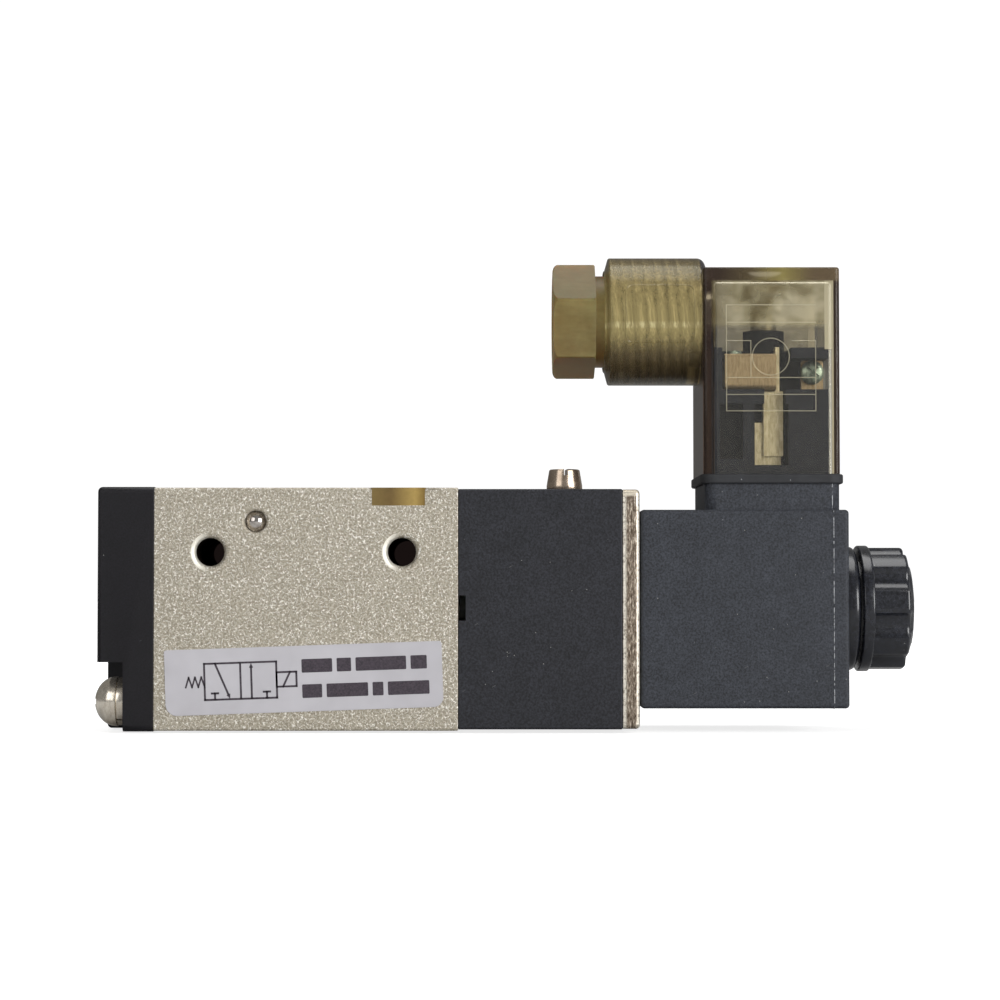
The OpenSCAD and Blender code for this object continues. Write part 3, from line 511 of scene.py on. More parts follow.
def terminal_plastic():
    """Black block of the connector: satin front face, with painted shade deeper in its pockets."""
    look = Look("terminal_plastic")
    front_y = box_mm("terminal_block")[0].y
    grain = look.noise(0.5, 3.0, 0.6)
    face = look.ramp(grain, (0.35, linear(34, 36, 46)), (0.65, linear(44, 46, 57)))
    # Painted shade: the colour darkens from the front face back into the pockets.
    base = look.blend(look.along("Y", front_y + 0.15, front_y + 0.7), face, linear(13, 13, 19))
    base = look.blend(look.times(look.specks(0.7, 0.08, 0.2), 0.4), base, linear(150, 150, 148))
    return look.done(look.surface(base, 0.7, 0.0, look.bump(grain, 0.1, 0.03), Specular_IOR_Level=0.2))


def plated(name, light, dark, rough, patch_mm=1.2, bump=0.08, streak=0.6):
    """Bright plating of slightly uneven tone, drawn out in fine upright streaks."""
    look = Look(name)
    tone = look.noise(patch_mm, 3.0, 0.6)
    base = look.ramp(tone, (0.35, dark), (0.65, light))
    streaks = look.noise(0.5, 4.0, 0.7, look.stretched(1.0, 1.0, 0.15))
    base = look.blend(streak, base, look.ramp(streaks, (0.38, 0.3), (0.55, 1.0)), "MULTIPLY")
    fine = look.noise(0.15, 2.0)
    rough_map = look.ramp(fine, (0.3, rough * 0.8), (0.75, rough * 1.35))
    return look.done(look.surface(base, rough_map, 0.85, look.bump(tone, bump, 0.02)))


def turned_metal(name, colour, rough, axis_scale):
    """Lathe-turned metal: fine rings across the turning axis."""
    look = Look(name)
    rings = look.noise(0.12, 2.0, 0.5, look.stretched(*axis_scale))
    base = look.ramp(rings, (0.35, scaled(colour, 0.82)), (0.65, colour))
    return look.done(look.surface(base, rough, 1.0, look.bump(rings, 0.12, 0.02)))


def sheared_plate():
    """Plated sheet: streaky brown shear band between painted highlights along its two edges, and a painted
    cream highlight at the top.
    """
    look = Look("plated_steel")
    lo, hi = box_mm("coil_plate")
    streaks = look.noise(0.34, 4.0, 0.75, look.stretched(1.8, 1.0, 0.4))
    base = look.ramp(
        streaks,
        (0.36, linear(70, 58, 48)),
        (0.46, linear(112, 98, 84)),
        (0.55, linear(156, 142, 126)),
        (0.64, linear(228, 216, 198)),
    )
    # Painted highlights: near-white bands along the plate's two edges.
    left_rim = look.along("X", lo.x + 0.5, lo.x + 0.2)
    right_rim = look.along("X", hi.x - 0.45, hi.x - 0.15)
    painted_rim_highlights = look.most(left_rim, right_rim)
    broken = look.ramp(look.noise(0.35, 3.0, 0.7), (0.36, 0.25), (0.52, 1.0))
    base = look.blend(look.times(painted_rim_highlights, broken), base, linear(246, 240, 226))
    # Painted highlight: cream along the top of the plate, where the light falls.
    crown = look.along("Z", hi.z - 0.85, hi.z - 0.6)
    base = look.blend(look.times(crown, 0.85), base, linear(232, 222, 202))
    rough = look.ramp(streaks, (0.3, 0.5), (0.7, 0.28))
    return look.done(look.surface(base, rough, 0.75, look.bump(streaks, 0.5, 0.06)))


def brass():
    """Milled brass with a painted highlight: dull on the left, brightest about three quarters across and
    darker again at the right edge.
    """
    look = Look("brass")
    lo, hi = box_mm("pilot_channel_plug")
    tarnish = look.noise(1.4, 3.0, 0.55)
    # Painted highlight: the colour follows X, from dull on the left to bright near the right and darker at
    # the right edge.
    base = look.ramp(
        look.along("X", lo.x, hi.x),
        (0.14, linear(150, 128, 80)),
        (0.4, linear(136, 112, 70)),
        (0.72, linear(204, 174, 104)),
        (0.86, linear(150, 122, 66)),
    )
    base = look.blend(0.45, base, look.ramp(tarnish, (0.35, 0.55), (0.65, 1.0)), "MULTIPLY")
    rough = look.ramp(tarnish, (0.35, 0.5), (0.65, 0.36))
    return look.done(look.surface(base, rough, 0.7, look.bump(look.noise(0.2), 0.1, 0.02)))


def bare_strip(name, light, dark):
    """Tinned or brass strip, lightly rolled along its length."""
    look = Look(name)
    rolled = look.noise(0.25, 3.0, 0.6, look.stretched(1.0, 1.0, 0.25))
    base = look.ramp(rolled, (0.35, dark), (0.65, light))
    return look.done(look.surface(base, 0.42, 0.55, look.bump(rolled, 0.15, 0.02)))


def rubber(name, tone, rough=0.7):
    look = Look(name)
    grain = look.noise(0.2, 3.0, 0.6)
    base = look.ramp(look.noise(1.5), (0.3, scaled(tone, 0.8)), (0.7, scaled(tone, 1.25)))
    base = look.blend(look.times(look.specks(0.9, 0.07, 0.2), 0.55), base, linear(190, 192, 196))
    return look.done(look.surface(base, rough, 0.0, look.bump(grain, 0.25, 0.02)))


def white_acetal():
    look = Look("white_acetal")
    cloud = look.noise(1.6, 2.0)
    base = look.ramp(cloud, (0.3, linear(214, 209, 196)), (0.7, linear(234, 230, 220)))
    normal = look.bump(look.noise(0.2), 0.1, 0.02)
    return look.done(look.surface(base, 0.4, 0.0, normal, Subsurface_Weight=0.1))


def copper_wire():
    """Enamelled copper: turns of wire as fine ridges along the coil's axis."""
    look = Look("copper_wire")
    wave = look.add("TexWave", {"Vector": look.place, "Scale": 1 / (0.12 * MM) / 20, "Distortion": 0.3})
    base = look.ramp(wave.outputs["Fac"], (0.1, linear(96, 42, 18)), (0.7, linear(196, 108, 58)))
    return look.done(look.surface(base, 0.3, 0.9, look.bump(wave.outputs["Fac"], 0.6, 0.05)))


def connector_masks(look, place):
    """Regions of the clear housing: the barrel, and parts of the block by what lies behind its skin."""
    beyond = look.along("X", BLOCK_LEFT + 0.06, BLOCK_LEFT - 0.1)
    barrel = look.times(beyond, look.along("Z", GLAND_Z - 7.6, GLAND_Z - 7.4))
    block = look.outside(barrel)
    half_depth = (CONN_HI.y - CONN_LO.y) / 2
    off_axis = look.math("ABSOLUTE", look.math("SUBTRACT", place[1], SPOOL_Y * MM))
    skin = look.times(look.math("GREATER_THAN", off_axis, (half_depth - 0.3) * MM), block)
    rear = look.along("Y", SPOOL_Y - 0.1, SPOOL_Y + 0.1)
    above = look.times(look.along("Z", TERMINALS_TOP + 1.7, TERMINALS_TOP + 2.6), skin)
    behind = look.times(look.along("Z", TERMINALS_TOP - 0.6, TERMINALS_TOP), skin)
    high_gap = look.times(
        look.along("X", BLOCK_RIGHT - 1.76, BLOCK_RIGHT - 1.7),
        look.along("Z", TERMINALS_TOP - 0.4, TERMINALS_TOP - 0.2),
    )
    low_gap = look.along("X", BLOCK_RIGHT - 0.98, BLOCK_RIGHT - 0.92)
    left_wall = look.along("X", BLOCK_LEFT + 1.15, BLOCK_LEFT + 0.85)
    right_wall = look.along("X", BLOCK_RIGHT - 0.74, BLOCK_RIGHT - 0.68)
    left_side = look.along("X", BLOCK_LEFT + 0.1, BLOCK_LEFT + 0.05)
    below_barrel = look.along("Z", GLAND_Z - 7.0, GLAND_Z - 7.6)
    return {
        "barrel": barrel,
        "above": look.times(above, look.outside(rear)),
        "behind": look.times(behind, rear),
        "light_gap": look.times(look.most(high_gap, low_gap), skin),
        "walls": look.times(look.most(left_wall, right_wall), skin),
        "roof": look.times(look.along("Z", BLOCK_TOP - 1.65, BLOCK_TOP - 1.45), skin),
        "flank": look.times(left_side, below_barrel),
        "outline": look.times(look.along("Y", CONN_LO.y - 0.01, CONN_LO.y - 0.03), block),
    }


def barrel_colour(look, place):
    """Ridges of the thread seen through the barrel, with painted light and shade: darker towards the bottom
    as painted shade, and a row of painted highlights under the middle.
    """
    lean = 0.09
    slid = look.math("ADD", place[0], look.times(place[2], lean))
    wave = look.math("SINE", look.times(slid, TAU / (GLAND_PITCH * MM)))
    drawn_out = look.add("CombineXYZ", {0: slid, 1: place[1], 2: look.times(place[2], 0.03)})
    lines = look.noise(0.34, 4.0, 0.8, drawn_out.outputs[0])
    ridge = look.math("ADD", look.times(wave, 0.09), lines)
    # Painted shade: the tone darkens towards the bottom of the barrel.
    tone = look.ramp(
        look.along("Z", GLAND_Z - 7.3, GLAND_Z + 7.3),
        (0.02, linear(60, 50, 38)),
        (0.22, linear(100, 88, 62)),
        (0.38, linear(170, 156, 108)),
        (0.75, linear(150, 136, 94)),
        (0.97, linear(122, 110, 78)),
    )
    # Painted light and shade: bright and dark lines along the thread ridges.
    painted_ridge_shading = look.ramp(ridge, (0.26, 0.5), (0.4, 0.8), (0.56, 1.0), (0.64, 1.3), (0.74, 1.55))
    tone = look.blend(1.0, tone, painted_ridge_shading, "MULTIPLY")
    # Painted highlights: a bright row on the ridges just under the barrel's middle.
    row_start = look.along("Z", GLAND_Z - 1.5, GLAND_Z - 1.2)
    row_end = look.along("Z", GLAND_Z - 0.9, GLAND_Z - 0.6)
    painted_row_highlight = look.times(look.math("SUBTRACT", row_start, row_end), look.ramp(ridge, (0.5, 0.1), (0.62, 1.0)))
    return look.blend(look.times(painted_row_highlight, 0.8), tone, linear(232, 222, 172))


def haze_colour(look, masks):
    """Tone of the cloudy light inside the block, by region."""
    haze = look.ramp(
        look.noise(3.2, 2.0, 0.6),
        (0.36, linear(124, 112, 80)),
        (0.5, linear(164, 154, 120)),
        (0.62, linear(192, 182, 150)),
    )
    # Painted shade: the haze darkens towards the block's left side.
    shaded_side = look.along("X", BLOCK_LEFT + 3.8, BLOCK_LEFT + 0.8)
    haze = look.blend(look.times(shaded_side, 0.9), haze, linear(88, 76, 48))
    # Painted light: the haze is brighter where light comes through the gaps.
    haze = look.blend(masks["light_gap"], haze, linear(200, 190, 158))
    hazed = look.most(masks["above"], masks["behind"], masks["light_gap"])
    return look.blend(hazed, linear(58, 61, 72), haze)


def clear_plastic(name, tint, barrel_tint, depth_colour, density):
    """Smoke-clear moulding: hazy above the terminals and on the barrel, with painted shade where a wall is
    seen edge-on and at grazing angles, painted shade and a painted glow in the top wall, and painted
    highlights on the moulded outlines.
    """
    look = Look(name)
    place = look.add("SeparateXYZ", {0: look.place}).outputs
    masks = connector_masks(look, place)
    flow = look.noise(2.4, 2.0, 0.5)
    # Painted shade across the top wall, brightening to a painted golden glow in the middle over the screw
    # head.
    roof_shade_and_glow = look.ramp(
        look.along("X", BLOCK_LEFT, BLOCK_RIGHT),
        (0.12, linear(66, 54, 46)),
        (0.36, linear(100, 88, 64)),
        (0.58, linear(152, 140, 84)),
        (0.8, linear(112, 96, 74)),
    )
    grazing = look.math("POWER", look.add("LayerWeight", {"Blend": 0.5}).outputs["Facing"], 2.6)
    film_colour = look.blend(masks["barrel"], haze_colour(look, masks), barrel_colour(look, place))
    for mask, colour in (
        # Painted shade: walls seen edge-on and the skin at grazing angles are coloured dark.
        (masks["walls"], linear(54, 42, 36)),
        (masks["roof"], roof_shade_and_glow),
        (masks["flank"], linear(116, 94, 80)),
        (grazing, linear(58, 48, 42)),
        # Painted highlight: the moulded outlines are coloured near-white.
        (masks["outline"], linear(206, 198, 170)),
    ):
        film_colour = look.blend(mask, film_colour, colour)
    film = look.surface(film_colour, 0.3, 0.0, Specular_IOR_Level=0.1)
    film_share = dict(above=0.55, behind=0.85, light_gap=0.6, walls=0.72, roof=0.66, flank=0.95, barrel=0.62)
    film_share["outline"] = 0.4
    amount = look.most(grazing, 0.06, *(look.times(masks[part], share) for part, share in film_share.items()))

    rough = look.ramp(flow, (0.3, 0.02), (0.7, 0.05))
    rough = look.blend(look.most(masks["above"], masks["barrel"]), rough, (0.16, 0.16, 0.16))
    colour = look.blend(masks["barrel"], tint, barrel_tint)
    glass_inputs = {"Color": colour, "Roughness": rough, "IOR": 1.49, "Normal": look.bump(flow, 0.04, 0.1)}
    glass = look.add("BsdfGlass", glass_inputs)
    body = look.add("MixShader", {0: amount, 1: glass.outputs[0], 2: film})
    path = look.add("LightPath").outputs
    open_path = look.most(path["Is Shadow Ray"], path["Is Diffuse Ray"])
    through = look.add("BsdfTransparent", {"Color": scaled(tint, 0.93)})
    mixed = look.add("MixShader", {0: open_path, 1: body.outputs[0], 2: through.outputs[0]})
    volume = look.add("VolumeAbsorption", {"Color": depth_colour, "Density": density})
    return look.done(mixed.outputs[0], volume.outputs[0])


def cloudy_plastic(name, tone, core, rough):
    """Translucent amber moulding, half clear and half cloudy, with painted shade making the facets that face
    up or down browner.
    """
    look = Look(name)
    flow = look.noise(1.8, 3.0, 0.55)
    base = look.ramp(flow, (0.3, core), (0.7, tone))
    streak = look.noise(0.6, 3.0, 0.6, look.stretched(0.3, 1.0, 1.0))
    base = look.blend(0.5, base, look.ramp(streak, (0.35, 0.7), (0.65, 1.0)), "MULTIPLY")
    upright = look.add("SeparateXYZ", {0: look.add("NewGeometry").outputs["Normal"]}).outputs[2]
    facing_up_or_down = look.math("ABSOLUTE", upright)
    # Painted shade: facets whose normals point up or down are browner.
    base = look.blend(look.times(facing_up_or_down, 0.92), base, linear(94, 84, 46))
    normal = look.bump(look.noise(0.3), 0.08, 0.03)
    clear = {"Transmission_Weight": 0.35, "IOR": 1.45, "Subsurface_Weight": 0.25, "Specular_IOR_Level": 0.15}
    body = look.surface(base, rough, 0.0, normal, **clear)
    path = look.add("LightPath")
    through = look.add("BsdfTransparent", {"Color": scaled(tone, 1.3)})
    mixed = look.add("MixShader", {0: path.outputs["Is Shadow Ray"], 1: body, 2: through.outputs[0]})
    return look.done(mixed.outputs[0])


def label_film():
    look = Look("label_film")
    cloud = look.noise(4.0, 2.0)
    base = look.ramp(cloud, (0.3, linear(186, 184, 189)), (0.7, linear(196, 194, 199)))
    return look.done(look.surface(base, 0.42, 0.0, look.bump(look.noise(0.25, 2.0), 0.06, 0.02)))


def label_ink():
    look = Look("label_ink")
    worn = look.noise(0.18, 3.0, 0.7)
    base = look.ramp(worn, (0.3, linear(40, 34, 42)), (0.72, linear(78, 68, 78)))
    return look.done(look.surface(base, 0.55))


def polished_ball():
    look = Look("polished_steel")
    stain = look.noise(0.7, 2.0)
    base = look.ramp(stain, (0.35, linear(176, 168, 162)), (0.65, linear(222, 216, 210)))
    return look.done(look.surface(base, 0.12, 1.0))


FLASH_X = box_mm("coil_moulding")[1].x - 1.75

MATERIALS = {
    "body_aluminium": body_aluminium(),
    "black_nylon": moulded_black("black_nylon", linear(42, 43, 49), 0.56, 0.26, 0.3),
    "coil_plastic": moulded_black("coil_plastic", linear(57, 60, 67), 0.6, 0.24, 0.3, 0.16, 0.35, FLASH_X),
    "nut_plastic": moulded_black("nut_plastic", linear(31, 33, 40), 0.22, 0.5, 0.05, 0.35, 0.6),
    "terminal_plastic": terminal_plastic(),
    "white_acetal": white_acetal(),
    "seal_rubber": rubber("seal_rubber", linear(38, 39, 42)),
    "clear_rubber": rubber("clear_rubber", linear(140, 132, 104), 0.5),
    "polished_steel": polished_ball(),
    "nickel_screw": plated(
        "nickel_screw", linear(246, 238, 224), linear(222, 210, 192), 0.2, 2.5, bump=0.05, streak=0.35
    ),
    # Painted shade: a darker copy of the screw plating, for the connector's fixing screw inside the housing.
    "shaded_screw": plated("shaded_screw", linear(128, 118, 92), linear(86, 78, 60), 0.45),
    "zinc_screw": plated("zinc_screw", linear(176, 190, 178), linear(118, 132, 124), 0.34),
    "plated_steel": sheared_plate(),
    "tube_steel": turned_metal("tube_steel", linear(196, 196, 200), 0.28, (1.0, 0.1, 0.1)),
    "anodised_spool": turned_metal("anodised_spool", linear(208, 210, 214), 0.3, (1.0, 0.1, 0.1)),
    "brass": brass(),
    "tinned_brass": bare_strip("tinned_brass", linear(232, 222, 192), linear(196, 182, 150)),
    "copper_wire": copper_wire(),
    "smoke_clear_plastic": clear_plastic(
        "smoke_clear_plastic",
        (0.97, 0.965, 0.93),
        (0.955, 0.93, 0.80),
        (0.6, 0.54, 0.42),
        320.0,
    ),
    "amber_plastic": cloudy_plastic("amber_plastic", linear(166, 150, 100), linear(142, 126, 80), 0.4),
    "label_film": label_film(),
}
INK = label_ink()
# Painted shade: a darker copy of the black nylon for the end cap, standing in for the light falling off
# towards the left.
SHADED_CAP_NYLON = moulded_black("shaded_cap_nylon", linear(20, 18, 24), 0.5, 0.2, 0.2)
BUTTON_NICKEL = plated("button_nickel", linear(208, 190, 170), linear(168, 150, 132), 0.22, 1.6, 0.06, 0.45)
CLAMP_BRASS = bare_strip("clamp_brass", linear(178, 158, 126), linear(150, 130, 100))


# ---- Valve body and ends -----------------------------------------------------------------------


def port_thread(name, port, size=4.864, pitch=0.907):
    """Cutter for the female G1/8 thread of a port mount."""
    mount = mount_named(port)
    place = Vector(mount["pos_m"]) / MM
    minor = mount["dims"]["r_mm"]
    depth = mount["dims"]["length_mm"]
    mouth = box_mm("valve_body")[1].z if mount["axis"][2] > 0 else box_mm("valve_body")[0].z
    start, end = sorted((mouth, mouth - math.copysign(depth, mount["axis"][2])))
    section = thread_section(minor - 0.15, size, pitch * 0.92)
    return helix(name, start, end, pitch, section, (place.x, place.y, 0), "Z", 56)


def body_block():
    """Aluminium body: the CAD shape with broken edges and real threads in its ports."""
    lo, hi = box_mm("valve_body")
    body = cad_copy("body_block", "valve_body")
    trim(body, bar("edges", lo, hi, "X", 0.3, (0.12, 0.12)))
    for port in ("outlet_port", "supply_port", "exhaust_port"):
        cut(body, port_thread("thread", port))
    finish_piece(body, "valve_body")


def ball():
    """Steel ball in the mouth of the cross drilling."""
    lo, hi = box_mm("channel_ball")
    r = (hi.x - lo.x) / 2
    centre = (lo + hi) / 2
    profile = arc((0, 0), r, 180, 0, 32)
    profile = [(a, max(h, 0.0)) for a, h in profile]
    profile[0] = (-r, 0.0)
    profile[-1] = (r, 0.0)
    obj = lathe("sealing_ball", profile, centre, "Y", 64)
    finish_piece(obj, "channel_ball", angle=60)


def brass_plug():
    """Turned brass plug with a hexagon socket, its front milled flush with the body."""
    lo, hi = box_mm("pilot_channel_plug")
    head_r = (hi.x - lo.x) / 2
    x, y = (lo.x + hi.x) / 2, hi.y - head_r
    shank_top = hi.z - 2.0
    profile = [(lo.z, 0), (lo.z, 1.2), (lo.z + 0.3, 1.5), (shank_top, 1.5), (shank_top, head_r - 0.03)]
    profile += [(shank_top + 0.03, head_r), (hi.z - 0.12, head_r)]
    profile += arc((hi.z - 0.12, head_r - 0.12), 0.12, 90, 0, 4)[1:]
    profile += [(hi.z, 0)]
    obj = lathe("brass_plug", profile, (x, y, 0), "Z", 96)
    socket = rod("socket", hi.z - 1.3, hi.z + 1, 1.44, (x, y, 0), "Z", 6)
    cut(obj, socket, bar("mill", (lo.x - 1, lo.y - 3, lo.z - 1), (hi.x + 1, lo.y, hi.z + 1)))
    finish_piece(obj, "pilot_channel_plug")


def cap_moulding():
    """End cap with soft outer corners, in a darker copy of the black nylon that stands in for shade."""
    lo, hi = box_mm("end_cap")
    cap = cad_copy("cap_moulding", "end_cap")
    trim(cap, bar("edges", lo, hi + Vector((2, 0, 0)), "X", 0.68, (0.5, 0)))
    trim(cap, bar("edges", lo - Vector((2, 0, 0)), hi, "X", 0.68, (0, 0.1)))
    finish_piece(cap, "end_cap", SHADED_CAP_NYLON)


def pilot_moulding():
    """Pilot housing with lightly rounded moulded edges."""
    lo, hi = box_mm("pilot_housing")
    housing = cad_copy("pilot_moulding", "pilot_housing")
    trim(housing, bar("edges", lo, hi, "X", 0.3, (0.14, 0.2)))
    finish_piece(housing, "pilot_housing")


def blanked_plate():
    """Coil plate, die-rolled on the coil side and sharp on the housing side."""
    lo, hi = box_mm("coil_plate")
    plate = cad_copy("blanked_plate", "coil_plate")
    trim(plate, bar("edges", lo - Vector((2, 0, 0)), hi, "X", 0.55, (0, 0.45)))
    trim(plate, bar("edges", lo, hi + Vector((2, 0, 0)), "X", 0.55, (0.1, 0)))
    finish_piece(plate, "coil_plate")


# ---- Screws ------------------------------------------------------------------------------------


def corner(lo, hi, r, side):
    """(y, z) of a round piece of radius r in the front lower (-1) or rear upper (1) corner of a box."""
    return (lo.y + r, lo.z + r) if side < 0 else (hi.y - r, hi.z - r)


def dome_profile(start, rise, r, step):
    """Profile points of a domed head, from its tip outwards."""
    angles = [math.radians(a) for a in range(0, 91, step)]
    return [(start, 0)] + [(start + rise * (1 - math.cos(a)), r * math.sin(a)) for a in angles[1:]]


def end_screw(name, side):
    """Domed cross-head M3 screw in one corner of the end cap; side is -1 for front below."""
    lo, hi = box_mm("end_cap_screws")
    r = 2.8
    y, z = corner(lo, hi, r, side)
    seat = box_mm("end_cap_washers")[0].x
    tip = hi.x
    profile = dome_profile(lo.x, 2.45, r, 9) + [(seat - 0.06, r), (seat, r - 0.08), (seat, 1.3)]
    profile += [(tip - 0.5, 1.3), (tip, 0.8), (tip, 0)]
    screw = lathe(name, profile, (0, y, z), "X", 72)
    thread = thread_section(1.2, 1.5, 0.46, 0.1)
    join(screw, helix("thread", seat + 1.2, tip - 0.9, 0.5, thread, (0, y, z), "X", 32))
    for height, width in ((2.6, 0.62), (0.62, 2.6)):
        low = (lo.x - 1, y - width / 2, z - height / 2)
        cut(screw, bar("recess", low, (lo.x + 1.15, y + width / 2, z + height / 2)))
    return screw


def end_screws():
    screws = end_screw("end_screws", -1)
    join(screws, end_screw("other", 1))
    finish_piece(screws, "end_cap_screws", angle=40)


def spring_washers():
    """Split spring washers under the end screws, as slightly rounded bands."""
    lo, hi = box_mm("end_cap_washers")
    r, inner, edge = 2.7, 1.56, 0.12
    pieces = []
    for side in (-1, 1):
        y, z = corner(lo, hi, r, side)
        profile = arc((lo.x + edge, r - edge), edge, 180, 90, 4)
        profile += arc((hi.x - edge, r - edge), edge, 90, 0, 4) + [(hi.x, inner), (lo.x, inner)]
        washer = lathe("spring_washers", profile, (0, y, z), "X", 72, ring=True)
        gap = bar("split", (lo.x - 0.5, y - 0.12, z + inner - 0.3), (hi.x + 0.5, y + 0.12, z + r + 0.5))
        spin_about(gap, (0, y, z), 2.4, "X")
        cut(washer, gap)
        pieces.append(washer)
    join(pieces[0], pieces[1])
    finish_piece(pieces[0], "end_cap_washers", angle=40)


def override():
    """Override button: its grooved stem from the CAD, under a tapered head with a narrow slot."""
    lo, hi = box_mm("override_button")
    centre = (lo + hi) / 2
    at = (centre.x, centre.y, 0)
    r = (hi.x - lo.x) / 2
    joint_z = hi.z - 2.9
    button = cad_copy("slotted_button", "override_button")
    trim(button, rod("stem", lo.z - 1, joint_z, r + 1, at, "Z", 96))
    top = [(joint_z - 0.2, 0), (joint_z - 0.2, r), (hi.z - 1.9, r), (hi.z - 0.25, r - 0.28)]
    top += arc((hi.z - 0.25, r - 0.5), 0.22, 90, 0, 6)[1:] + [(hi.z, 0)]
    join(button, lathe("top", top, at, "Z", 96))
    slot_half, slot_depth, slot_turn = 0.22, 0.75, math.radians(4.5)
    slot = bar("slot", (-slot_half, -r - 1, hi.z - slot_depth), (slot_half, r + 1, hi.z + 1))
    slot.data.transform(Matrix.Translation((centre.x, centre.y, 0)) @ Matrix.Rotation(slot_turn, 4, "Z"))
    cut(button, slot)
    finish_piece(button, "override_button", BUTTON_NICKEL)


# ---- Coil and its nut --------------------------------------------------------------------------


def coil_body():
    """Moulded coil with soft edges, its connector neck, and the mould's parting flash near the nut end."""
    lo, hi = box_mm("coil_moulding")
    neck_lo, neck_hi = box_mm("connector_gasket")
    top = SPOOL_Z + (SPOOL_Z - lo.z)
    coil = cad_copy("coil_body", "coil_moulding")
    inset = 0.45
    envelope = bar("edges", lo, (hi.x, hi.y, top), "X", 0.45, (0.4, 0.42))
    neck_low = (neck_lo.x + inset, lo.y + 0.5, SPOOL_Z)
    neck = bar("neck", neck_low, (neck_hi.x - inset, hi.y - 0.5, hi.z), "Z", 1.35, (0, 0.2), 6)
    trim(coil, join(envelope, neck))

    def slice_of_coil(name, start, end, grow, corner_r):
        low = (start, lo.y - grow, lo.z - grow)
        return bar(name, low, (end, hi.y + grow, top + grow), "X", corner_r)

    flash = slice_of_coil("flash", FLASH_X, FLASH_X + 0.08, 0.035, 0.45)
    join(coil, cut(flash, slice_of_coil("hollow", FLASH_X - 1, FLASH_X + 1, -0.3, 0.2)))
    finish_piece(coil, "coil_moulding")


def knob():
    """Coil nut: neck, flange and a grip with eight scallops, all edges softened."""
    lo, hi = box_mm("coil_nut")
    flange_r = (hi.z - lo.z) / 2
    grip_r = flange_r - 0.25
    grip_left = lo.x + 1.58
    centre = (0, SPOOL_Y, SPOOL_Z)
    base = [(lo.x, 0), (lo.x, 6.0), (lo.x + 0.1, 6.2), (lo.x + 0.28, 6.2)]
    base += arc((lo.x + 0.5, flange_r - 0.22), 0.22, 180, 90, 5)
    base += arc((grip_left - 0.25, flange_r - 0.25), 0.25, 90, 0, 5) + [(grip_left + 0.02, 0)]
    knob_obj = lathe("grip_nut", base, centre, "X", 128)

    lobes, segs = 8, 192
    depth = 0.85
    crown = [(grip_left - 0.3, 0.0), (hi.x - 1.0, 0.0)]
    edge_r = 0.42
    for a in (0.4, 0.8, 1.2, math.pi / 2):
        crown.append((hi.x - 1.0 + edge_r * math.sin(a), edge_r * (1 - math.cos(a))))
    crown += [(hi.x - 0.5, 1.15), (hi.x - 0.36, 1.35), (hi.x - 0.1, 1.75), (hi.x, 2.2)]
    bm = bmesh.new()
    rings = []
    for x, inset in crown:
        ring = []
        for i in range(segs):
            t = TAU * i / segs
            phase = (t * lobes / TAU + 0.15) % 1.0
            notch = max(0.0, 1 - ((phase - 0.5) / 0.27) ** 2)
            fade = max(0.0, 1 - inset / 2.4)
            r = grip_r - inset - depth * notch**0.75 * fade
            ring.append(bm.verts.new(on_axis("X", x, r * math.cos(t), r * math.sin(t), centre)))
        rings.append(ring)
    for a, b in zip(rings, rings[1:]):
        for i in range(segs):
            j = (i + 1) % segs
            bm.faces.new([a[i], a[j], b[j], b[i]])
    for ring in (rings[0], rings[-1]):
        hub = bm.verts.new(sum((v.co for v in ring), Vector()) / segs)
        for i in range(segs):
            bm.faces.new([ring[i], ring[(i + 1) % segs], hub])
    join(knob_obj, mesh_object("grip", bm))
    bore_end = TUBE_HI.x + 0.6
    tube_r = 4.05
    cut(knob_obj, rod("bore", lo.x - 1, bore_end, tube_r, centre, segs=96))
    thread = thread_section(tube_r - 0.1, tube_r + 0.3, 0.68, 0.1)
    cut(knob_obj, helix("thread", lo.x - 0.4, bore_end - 0.9, NUT_PITCH, thread, centre, "X", 48))
    finish_piece(knob_obj, "coil_nut", angle=38)


def seal_disc():
    """Seal disc between coil and nut: two soft lips."""
    lo, hi = box_mm("nut_seal")
    r = (hi.z - lo.z) / 2
    bore = 4.06
    profile = [(lo.x, bore), (lo.x, r - 0.2)] + arc((lo.x + 0.2, r - 0.2), 0.2, 180, 90, 4)[1:]
    profile += [(hi.x - 0.75, r)] + arc((hi.x - 0.55, r - 0.55), 0.55, 90, 0, 6) + [(hi.x, bore)]
    disc = lathe("seal_disc", profile, (0, SPOOL_Y, SPOOL_Z), "X", 128, ring=True)
    finish_piece(disc, "nut_seal", angle=38)


def threaded_tube():
    """Armature tube with the coil nut's thread on its free end."""
    tube = cad_copy("threaded_tube", "armature_tube")
    centre = (0, SPOOL_Y, SPOOL_Z)
    thread = thread_section(4.1, 3.62, 0.68, 0.1)
    cut(tube, helix("thread", TUBE_HI.x - 5.2, TUBE_HI.x + 0.5, NUT_PITCH, thread, centre, "X", 48))
    finish_piece(tube, "armature_tube")


